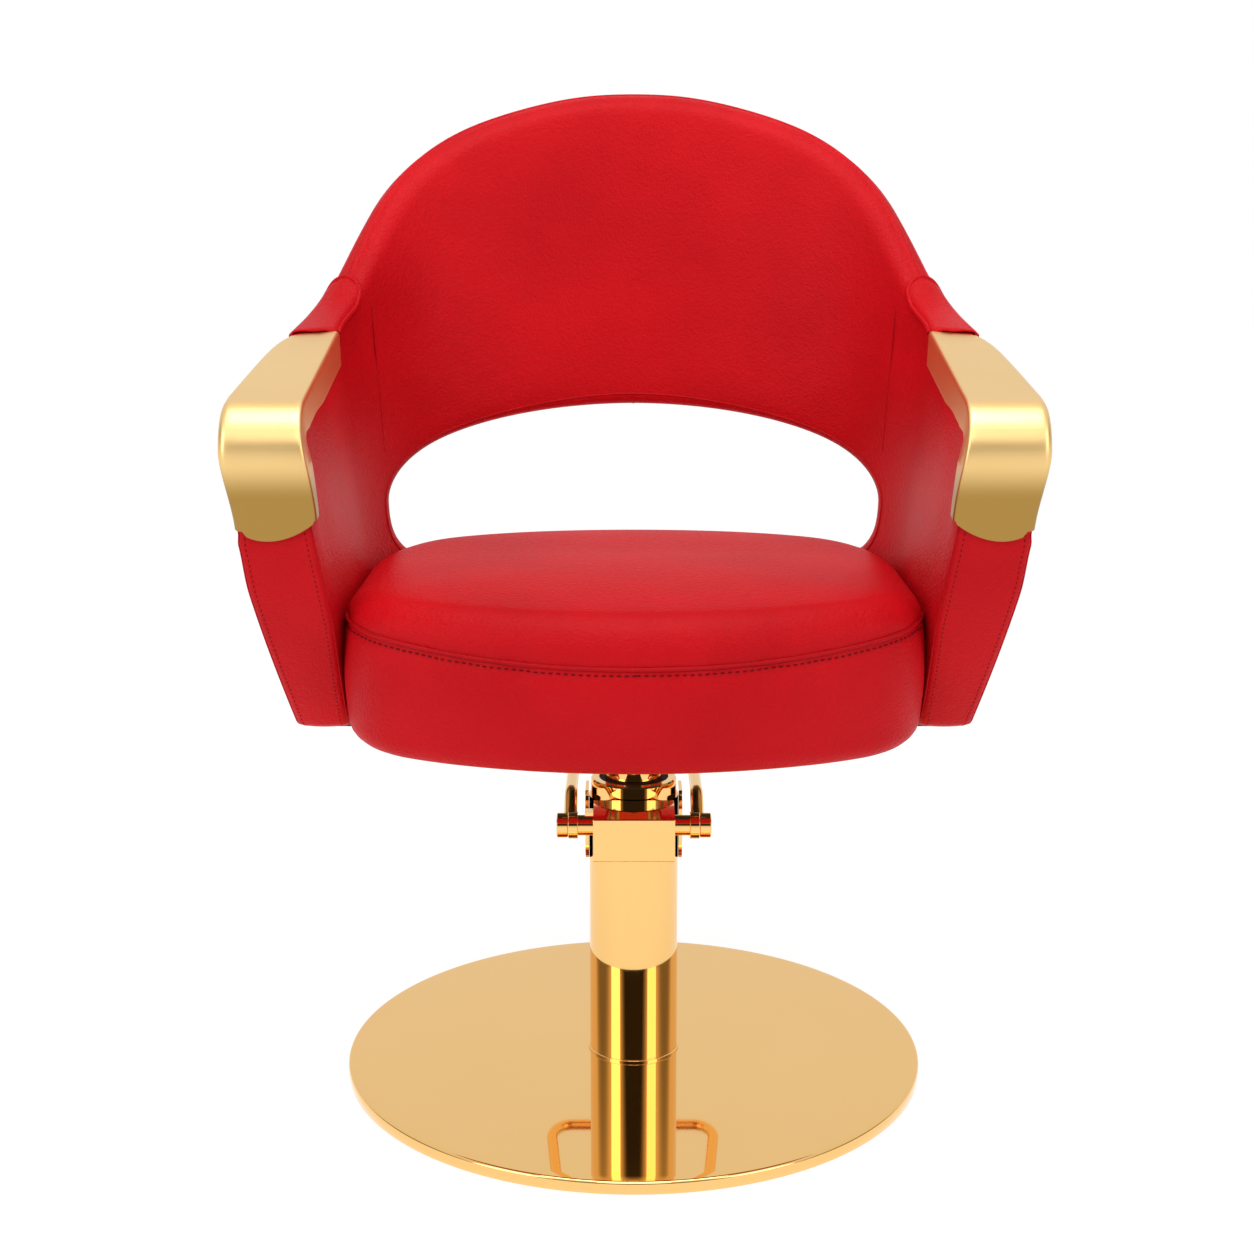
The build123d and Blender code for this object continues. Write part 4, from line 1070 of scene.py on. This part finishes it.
# %% Disc
low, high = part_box("base_disc")
disc_r, disc_low, disc_high = high[0] / MM, low[2] / MM, high[2] / MM
column_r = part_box("column_tube")[1][0] / MM
EDGE_R, LOWER_CHAMFER = 3.0, 0.6
half_section = [(0.0, disc_low), (disc_r - LOWER_CHAMFER, disc_low), (disc_r, disc_low + LOWER_CHAMFER)]
half_section += [(disc_r - EDGE_R * (1 - math.cos(a)), disc_high - EDGE_R * (1 - math.sin(a)))
                 for a in (math.radians(9 * k) for k in range(11))]
half_section += [(disc_r - 12, disc_high), (column_r, disc_high), (0.0, disc_high)]
bm = bmesh.new()
chain = [bm.verts.new((r * MM, 0, z * MM)) for r, z in half_section]
lines = [bm.edges.new(pair) for pair in zip(chain, chain[1:])]
bmesh.ops.spin(bm, geom=chain + lines, cent=(0, 0, 0), axis=(0, 0, 1), angle=math.tau,
               steps=256, use_merge=True)
bmesh.ops.remove_doubles(bm, verts=bm.verts, dist=0.01 * MM)
disc = finish_mesh(bm, "floor_disc")
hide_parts("base_disc")
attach(disc, "base")
print("disc:", len(disc.data.polygons), "faces")

# %% [markdown]
# ## Pump spring
# The short spring under the pump's plunger is pressed together when the pedal goes down. A small
# ring of points turned about the upright axis, climbing at each step, makes the coil.

# %% Pump spring
SPRING_WIRE, SPRING_TURNS, TURN_STEPS = 0.8 * MM, 3, 16
low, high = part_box("plunger_spring")
spring_y, spring_height = (low[1] + high[1]) / 2, high[2] - low[2]
start = Matrix.Translation((high[0] - SPRING_WIRE / 2, spring_y, low[2] + SPRING_WIRE / 2))
bm = bmesh.new()
ring = bmesh.ops.create_circle(bm, segments=8, radius=SPRING_WIRE / 2,
                               matrix=start @ Matrix.Rotation(math.pi / 2, 4, "X"))["verts"]
ring_edges = list({e for v in ring for e in v.link_edges})
steps = SPRING_TURNS * TURN_STEPS
bmesh.ops.spin(bm, geom=ring + ring_edges, cent=(0, spring_y, 0), axis=(0, 0, 1), steps=steps,
               angle=SPRING_TURNS * math.tau, dvec=(0, 0, (spring_height - SPRING_WIRE) / steps),
               use_merge=False)
bmesh.ops.holes_fill(bm, edges=[e for e in bm.edges if e.is_boundary], sides=8)
spring = finish_mesh(bm, "pump_spring")
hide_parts("plunger_spring")
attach(spring, "base")
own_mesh(spring)
print("spring:", len(spring.data.polygons), "faces,", round(spring_height / MM, 2), "mm high")

# %% [markdown]
# ## Material helpers
# Every finish here is made the same way: a pattern read from the object's own coordinates drives
# the colour through a ramp, the roughness through a range, and the small relief through a bump.
# Four helpers add those nodes, so that each material below reads like its description.

# %% Material helpers
def new_material(name):
    """A material with its node tree and its shader."""
    material = bpy.data.materials.new(name)
    material.use_nodes = True
    nodes = material.node_tree.nodes
    links = material.node_tree.links
    shader = nodes["Principled BSDF"]
    return material, nodes, links, shader


def noise(nodes, links, source, scale, detail=3.0, rough=0.5):
    """A cloudy 0 to 1 pattern; a larger scale makes it finer."""
    node = nodes.new("ShaderNodeTexNoise")
    node.inputs["Scale"].default_value = scale
    node.inputs["Detail"].default_value = detail
    node.inputs["Roughness"].default_value = rough
    links.new(source, node.inputs["Vector"])
    return node.outputs["Fac"]


def ramp(nodes, links, source, stops):
    """A colour ramp with (position, colour) stops."""
    node = nodes.new("ShaderNodeValToRGB")
    for k, (position, colour) in enumerate(stops):
        stop = node.color_ramp.elements[k] if k < 2 else node.color_ramp.elements.new(position)
        stop.position = position
        stop.color = (*colour, 1)
    links.new(source, node.inputs["Fac"])
    return node.outputs["Color"]


def span(nodes, links, source, low, high):
    """Stretch a 0 to 1 value between two numbers."""
    node = nodes.new("ShaderNodeMapRange")
    node.inputs["To Min"].default_value = low
    node.inputs["To Max"].default_value = high
    links.new(source, node.inputs["Value"])
    return node.outputs["Result"]


def bump(nodes, links, height, strength, distance, under=None):
    """Relief from a height pattern, on top of the relief under it."""
    node = nodes.new("ShaderNodeBump")
    node.inputs["Strength"].default_value = strength
    node.inputs["Distance"].default_value = distance
    links.new(height, node.inputs["Height"])
    if under is not None:
        links.new(under, node.inputs["Normal"])
    return node.outputs["Normal"]


def object_place(nodes):
    """The object's own coordinates, in metres."""
    return nodes.new("ShaderNodeTexCoord").outputs["Object"]


def put_on(piece, material):
    """Give a piece one material."""
    piece.data.materials.clear()
    piece.data.materials.append(material)


print("material helpers ready")

# %% [markdown]
# ## Leather
# The leather is a deep red hide with a fine pebble grain. Real grain is small raised cells
# between fine creases, which a smooth Voronoi pattern gives, broken up with noise. The colour
# drifts slowly over the hide, and the gloss varies with the creases. The seams' turned edges are
# the same hide in a darker red, with a flatter grain. The turned edges of the
# seams are the same hide, stretched, so they are darker and their grain is flatter.

# %% Red leather
def leather_material(name, dark, light, grain=1.0):
    material, nodes, links, shader = new_material(name)
    place = object_place(nodes)
    drift = noise(nodes, links, place, 7.0, 4.0)
    cells = nodes.new("ShaderNodeTexVoronoi")
    cells.feature = "SMOOTH_F1"
    cells.inputs["Scale"].default_value = 430.0
    cells.inputs["Smoothness"].default_value = 0.6
    links.new(place, cells.inputs["Vector"])
    crease = noise(nodes, links, place, 190.0, 4.0, 0.6)
    links.new(ramp(nodes, links, drift, [(0.3, dark), (0.7, light)]), shader.inputs["Base Color"])
    links.new(span(nodes, links, crease, 0.40, 0.54), shader.inputs["Roughness"])
    first = bump(nodes, links, cells.outputs["Distance"], 0.50 * grain, 0.0008)
    second = bump(nodes, links, crease, 0.40 * grain, 0.0016, first)
    third = bump(nodes, links, drift, 0.10, 0.008, second)
    links.new(third, shader.inputs["Normal"])
    shader.inputs["Specular IOR Level"].default_value = 0.09
    return material


red_leather = leather_material("red_leather_hide", (0.49, 0.003, 0.007), (0.60, 0.005, 0.010))
seam_leather = leather_material("red_leather_turned_edge", (0.40, 0.003, 0.007), (0.50, 0.005, 0.010), 0.6)
print("leathers:", red_leather.name, seam_leather.name)

# %% [markdown]
# ## Thread
# The thread is a darker red than the hide. Fine waves across it stand for its twist.

# %% Thread
THREAD_DARK, THREAD_LIGHT = (0.10, 0.002, 0.003), (0.19, 0.003, 0.006)
thread_red, nodes, links, shader = new_material("red_thread")
twist = nodes.new("ShaderNodeTexWave")
twist.inputs["Scale"].default_value = 900.0
links.new(object_place(nodes), twist.inputs["Vector"])
twist_colour = ramp(nodes, links, twist.outputs["Fac"], [(0.2, THREAD_DARK), (0.8, THREAD_LIGHT)])
links.new(twist_colour, shader.inputs["Base Color"])
shader.inputs["Roughness"].default_value = 0.6
shader.inputs["Specular IOR Level"].default_value = 0.1
print("thread:", thread_red.name)

# %% [markdown]
# ## Putting the leather on
# The big skins get the hide. Seams, piping and stitches also have to be told that they move with
# the seat.

# %% Leather and thread on the pieces
for piece in [shell, cushion, *strips]:
    put_on(piece, red_leather)
for pieces, finish in ((seams, seam_leather), (strip_edges, red_leather), (threads, thread_red)):
    for piece in pieces:
        ride_seat(piece)
        put_on(piece, finish)
print("leather on", 4 + len(seams) + len(strip_edges), "pieces, thread on", len(threads))

# %% [markdown]
# ## Metals
# The base is steel plated to a bright gold and polished, so nearly all of its look is what it
# reflects. A faint unevenness in the gloss, as fingers and cloths leave, keeps it from looking
# like a computer's mirror. The arm caps are the same gold with a brushed, satin face.

# %% Gold
def gold_material(name, colour_a, colour_b, rough_low, rough_high, brushed=0.0):
    """Gold plating whose colour and gloss drift a little; brushed adds fine lines along X."""
    material, nodes, links, shader = new_material(name)
    place = object_place(nodes)
    shader.inputs["Metallic"].default_value = 1.0
    cloud = noise(nodes, links, place, 9.0, 5.0)
    links.new(ramp(nodes, links, cloud, [(0.3, colour_a), (0.7, colour_b)]), shader.inputs["Base Color"])
    links.new(span(nodes, links, cloud, rough_low, rough_high), shader.inputs["Roughness"])
    if brushed:
        turn = nodes.new("ShaderNodeMapping")
        turn.inputs["Scale"].default_value = (1.0, 60.0, 60.0)
        links.new(place, turn.inputs["Vector"])
        lines = noise(nodes, links, turn.outputs["Vector"], 30.0, 3.0)
        links.new(bump(nodes, links, lines, brushed, 0.0004), shader.inputs["Normal"])
    return material


gold_polished = gold_material("gold_polished_plate", (0.90, 0.555, 0.20), (0.91, 0.565, 0.21), 0.025, 0.045)
gold_satin = gold_material("gold_satin_plate", (0.86, 0.58, 0.24), (0.89, 0.61, 0.26), 0.35, 0.39, 0.08)
print("golds:", gold_polished.name, gold_satin.name)

# %% [markdown]
# ## Painted shade on the caps' foot
# The lower half of each cap is darkened with painted shade: a darker base colour stands in for
# the dark band that the bent sheet shows there. The height drives a soft change between the two colours.

# %% Painted shade on the foot of the caps
# painted shade: the caps' base colour darkens towards their lower end
PAINTED_SHADE_TONE = (0.40, 0.235, 0.06, 1)
nodes, links = gold_satin.node_tree.nodes, gold_satin.node_tree.links
depth = nodes.new("ShaderNodeSeparateXYZ")
links.new(object_place(nodes), depth.inputs["Vector"])
fade = nodes.new("ShaderNodeMapRange")
fade.interpolation_type = "SMOOTHSTEP"
fade.inputs["From Min"].default_value = 0.648
fade.inputs["From Max"].default_value = 0.612
links.new(depth.outputs["Z"], fade.inputs["Value"])
tone = nodes.new("ShaderNodeMix")
tone.data_type = "RGBA"
tone.inputs["B"].default_value = PAINTED_SHADE_TONE
cap_shader = nodes["Principled BSDF"]
links.new(cap_shader.inputs["Base Color"].links[0].from_socket, tone.inputs["A"])
links.new(fade.outputs["Result"], tone.inputs["Factor"])
links.new(tone.outputs["Result"], cap_shader.inputs["Base Color"])
print("cap tone fades from", fade.inputs["From Min"].default_value, "m down")

# %% [markdown]
# ## Finishes of the small parts
# Rubber, bare and painted steel and bronze are one recipe with other numbers: a soft cloud in the
# colour, a finer one in the gloss. Plywood needs long grain, so its noise is stretched. The
# frame's parts keep their own meshes, and only get their finish.

# %% Other finishes
def plain_finish(name, dark, light, scale, rough, metal=0.0, rough_bump=0.0):
    """A finish from two colours, the scale of its cloud and its range of roughness."""
    material, nodes, links, shader = new_material(name)
    place = object_place(nodes)
    cloud = noise(nodes, links, place, scale, 5.0)
    fine = noise(nodes, links, place, scale * 12, 3.0)
    links.new(ramp(nodes, links, cloud, [(0.3, dark), (0.7, light)]), shader.inputs["Base Color"])
    links.new(span(nodes, links, fine, *rough), shader.inputs["Roughness"])
    shader.inputs["Metallic"].default_value = metal
    if rough_bump:
        links.new(bump(nodes, links, fine, rough_bump, 0.0008), shader.inputs["Normal"])
    return material


def wood_finish(name):
    """Plywood, with its grain along X."""
    material, nodes, links, shader = new_material(name)
    stretch = nodes.new("ShaderNodeMapping")
    stretch.inputs["Scale"].default_value = (4.0, 60.0, 400.0)
    links.new(object_place(nodes), stretch.inputs["Vector"])
    grain = noise(nodes, links, stretch.outputs["Vector"], 1.0, 5.0)
    links.new(ramp(nodes, links, grain, [(0.3, (0.36, 0.22, 0.11)), (0.7, (0.62, 0.44, 0.26))]),
              shader.inputs["Base Color"])
    links.new(span(nodes, links, grain, 0.55, 0.75), shader.inputs["Roughness"])
    return material


def grey(value):
    return (value, value, value)


finishes = {
    "gold_polished": gold_polished,
    "gold_satin": gold_satin,
    "red_leather": red_leather,
    "black_rubber": plain_finish("black_rubber_sheet", grey(0.015), grey(0.03), 30, (0.6, 0.8), 0, 0.2),
    "plywood": wood_finish("plywood_board"),
    "bare_steel": plain_finish("bare_steel", (0.45, 0.45, 0.46), (0.58, 0.58, 0.59), 40,
                               (0.25, 0.4), 1.0, 0.05),
    "black_steel": plain_finish("black_painted_steel", (0.012, 0.012, 0.013), (0.024, 0.024, 0.026), 25,
                                (0.38, 0.5), 0, 0.08),
    "bronze": plain_finish("bronze_bearing", (0.55, 0.36, 0.15), (0.68, 0.46, 0.21), 35, (0.3, 0.42), 1.0),
}
print("finishes:", len(finishes))

# %% [markdown]
# ## Finishing the frame's parts
# The record says what each part is made of, so one loop gives every part its finish. The four
# metal pieces made above follow.

# %% Finishes on the parts
for row in frame["record"]["subparts"]:
    node = frame["nodes"][row["node"]]
    finish = finishes[row["material_slot"]]
    if not node.data.materials:
        node.data.materials.append(finish)
    for k in range(len(node.data.materials)):
        node.data.materials[k] = finish
for cap in caps:
    put_on(cap, gold_satin)
put_on(disc, gold_polished)
put_on(spring, finishes["bare_steel"])

# %% [markdown]
# ## Floor
# The floor is a wide pale plane. It glows a little, as paper does that is lit from far outside
# the scene, so that it stays as white as the wall behind it and still shows a soft shadow.

# %% Floor
bm = bmesh.new()
bmesh.ops.create_grid(bm, x_segments=8, y_segments=8, size=14.0)
floor = finish_mesh(bm, "studio_floor", outward=False)
floor_finish, nodes, links, shader = new_material("pale_floor")
paper = noise(nodes, links, object_place(nodes), 3.0, 4.0)
links.new(ramp(nodes, links, paper, [(0.3, grey(0.25)), (0.7, grey(0.27))]), shader.inputs["Base Color"])
shader.inputs["Roughness"].default_value = 0.9
shader.inputs["Emission Color"].default_value = (1, 1, 1, 1)
shader.inputs["Emission Strength"].default_value = 0.87
put_on(floor, floor_finish)
print("floor glow:", shader.inputs["Emission Strength"].default_value)

# %% [markdown]
# ## World
# The world is white all round, as in a studio of white cloth, with a dark gap low in front and at
# the sides: polished metal looks like metal only when it has something dark to reflect. It is
# brightest for reflections and dimmer as light on the leather, so the two can be set apart.

# %% World
world = bpy.data.worlds.new("white_studio")
bpy.context.scene.world = world
world.use_nodes = True
nodes, links = world.node_tree.nodes, world.node_tree.links
background = nodes["Background"]
background.inputs["Strength"].default_value = 1.0
DIFFUSE_LEVEL, MIRROR_LEVEL = 0.34, 0.88
split = nodes.new("ShaderNodeSeparateXYZ")
links.new(nodes.new("ShaderNodeTexCoord").outputs["Generated"], split.inputs["Vector"])


def world_range(source, low, high, to_low, to_high):
    """A smooth change from one number to another while source goes from low to high."""
    node = nodes.new("ShaderNodeMapRange")
    node.interpolation_type = "SMOOTHSTEP"
    for name, value in (("From Min", low), ("From Max", high), ("To Min", to_low), ("To Max", to_high)):
        node.inputs[name].default_value = value
    links.new(source, node.inputs["Value"])
    return node.outputs["Result"]


def world_math(kind, a, b):
    """One sum on two sockets or numbers."""
    node = nodes.new("ShaderNodeMath")
    node.operation = kind
    for socket, value in zip(node.inputs, (a, b)):
        if isinstance(value, (int, float)):
            socket.default_value = value
        else:
            links.new(value, socket)
    return node.outputs["Value"]


front_gap = world_range(split.outputs["Y"], -0.70, -0.86, 0.0, 1.0)
side_edge = world_math("ABSOLUTE", split.outputs["X"], 0)
side_gap = world_range(side_edge, 0.80, 0.92, 0.0, 0.75)
above = world_range(split.outputs["Z"], 0.12, 0.22, 0.0, 1.0)
below = world_range(split.outputs["Z"], 0.46, 0.60, 1.0, 0.0)
gap = world_math("MAXIMUM", front_gap, side_gap)
dark = world_math("MULTIPLY", world_math("MULTIPLY", gap, above), below)
level = world_math("SUBTRACT", 1.0, world_math("MULTIPLY", dark, 0.97))
seen = nodes.new("ShaderNodeLightPath").outputs["Is Camera Ray"]
mirror = nodes.new("ShaderNodeLightPath").outputs["Is Glossy Ray"]
level = world_math("MULTIPLY", level, world_range(mirror, 0.0, 1.0, DIFFUSE_LEVEL, MIRROR_LEVEL))
level = world_math("MAXIMUM", level, seen)
shade = nodes.new("ShaderNodeCombineColor")
for name in ("Red", "Green", "Blue"):
    links.new(level, shade.inputs[name])
links.new(shade.outputs["Color"], background.inputs["Color"])
print("world made")

# %% [markdown]
# ## Soft lights
# Four big rectangular lights, like cloth boxes: one above, one on each side in front, the right
# one a little stronger so that the form reads, and a weak one high in front for the back rest.

# %% Soft lights
def soft_light(name, place, aim, size, power):
    """A rectangular light at a place, turned towards its aim; sizes in metres, power in watts."""
    data = bpy.data.lights.new(name, "AREA")
    data.shape = "RECTANGLE"
    data.size, data.size_y = size
    data.energy = power
    lamp = bpy.data.objects.new(name, data)
    lamp.location = place
    lamp.rotation_euler = (Vector(aim) - Vector(place)).to_track_quat("-Z", "Y").to_euler()
    bpy.context.scene.collection.objects.link(lamp)


soft_light("top_light", (0.0, -0.4, 2.6), (0, 0, 0.5), (1.8, 1.2), 28.0)
soft_light("left_light", (1.9, -1.7, 1.7), (0, 0, 0.6), (1.2, 1.9), 13.0)
soft_light("right_light", (-1.9, -1.7, 1.7), (0, 0, 0.6), (1.2, 1.9), 17.0)
soft_light("front_light", (0.0, -2.2, 2.2), (0, 0, 0.8), (1.2, 0.8), 8.0)
bpy.context.scene.view_settings.view_transform = "Standard"
print("lights placed:", len(bpy.data.lights))
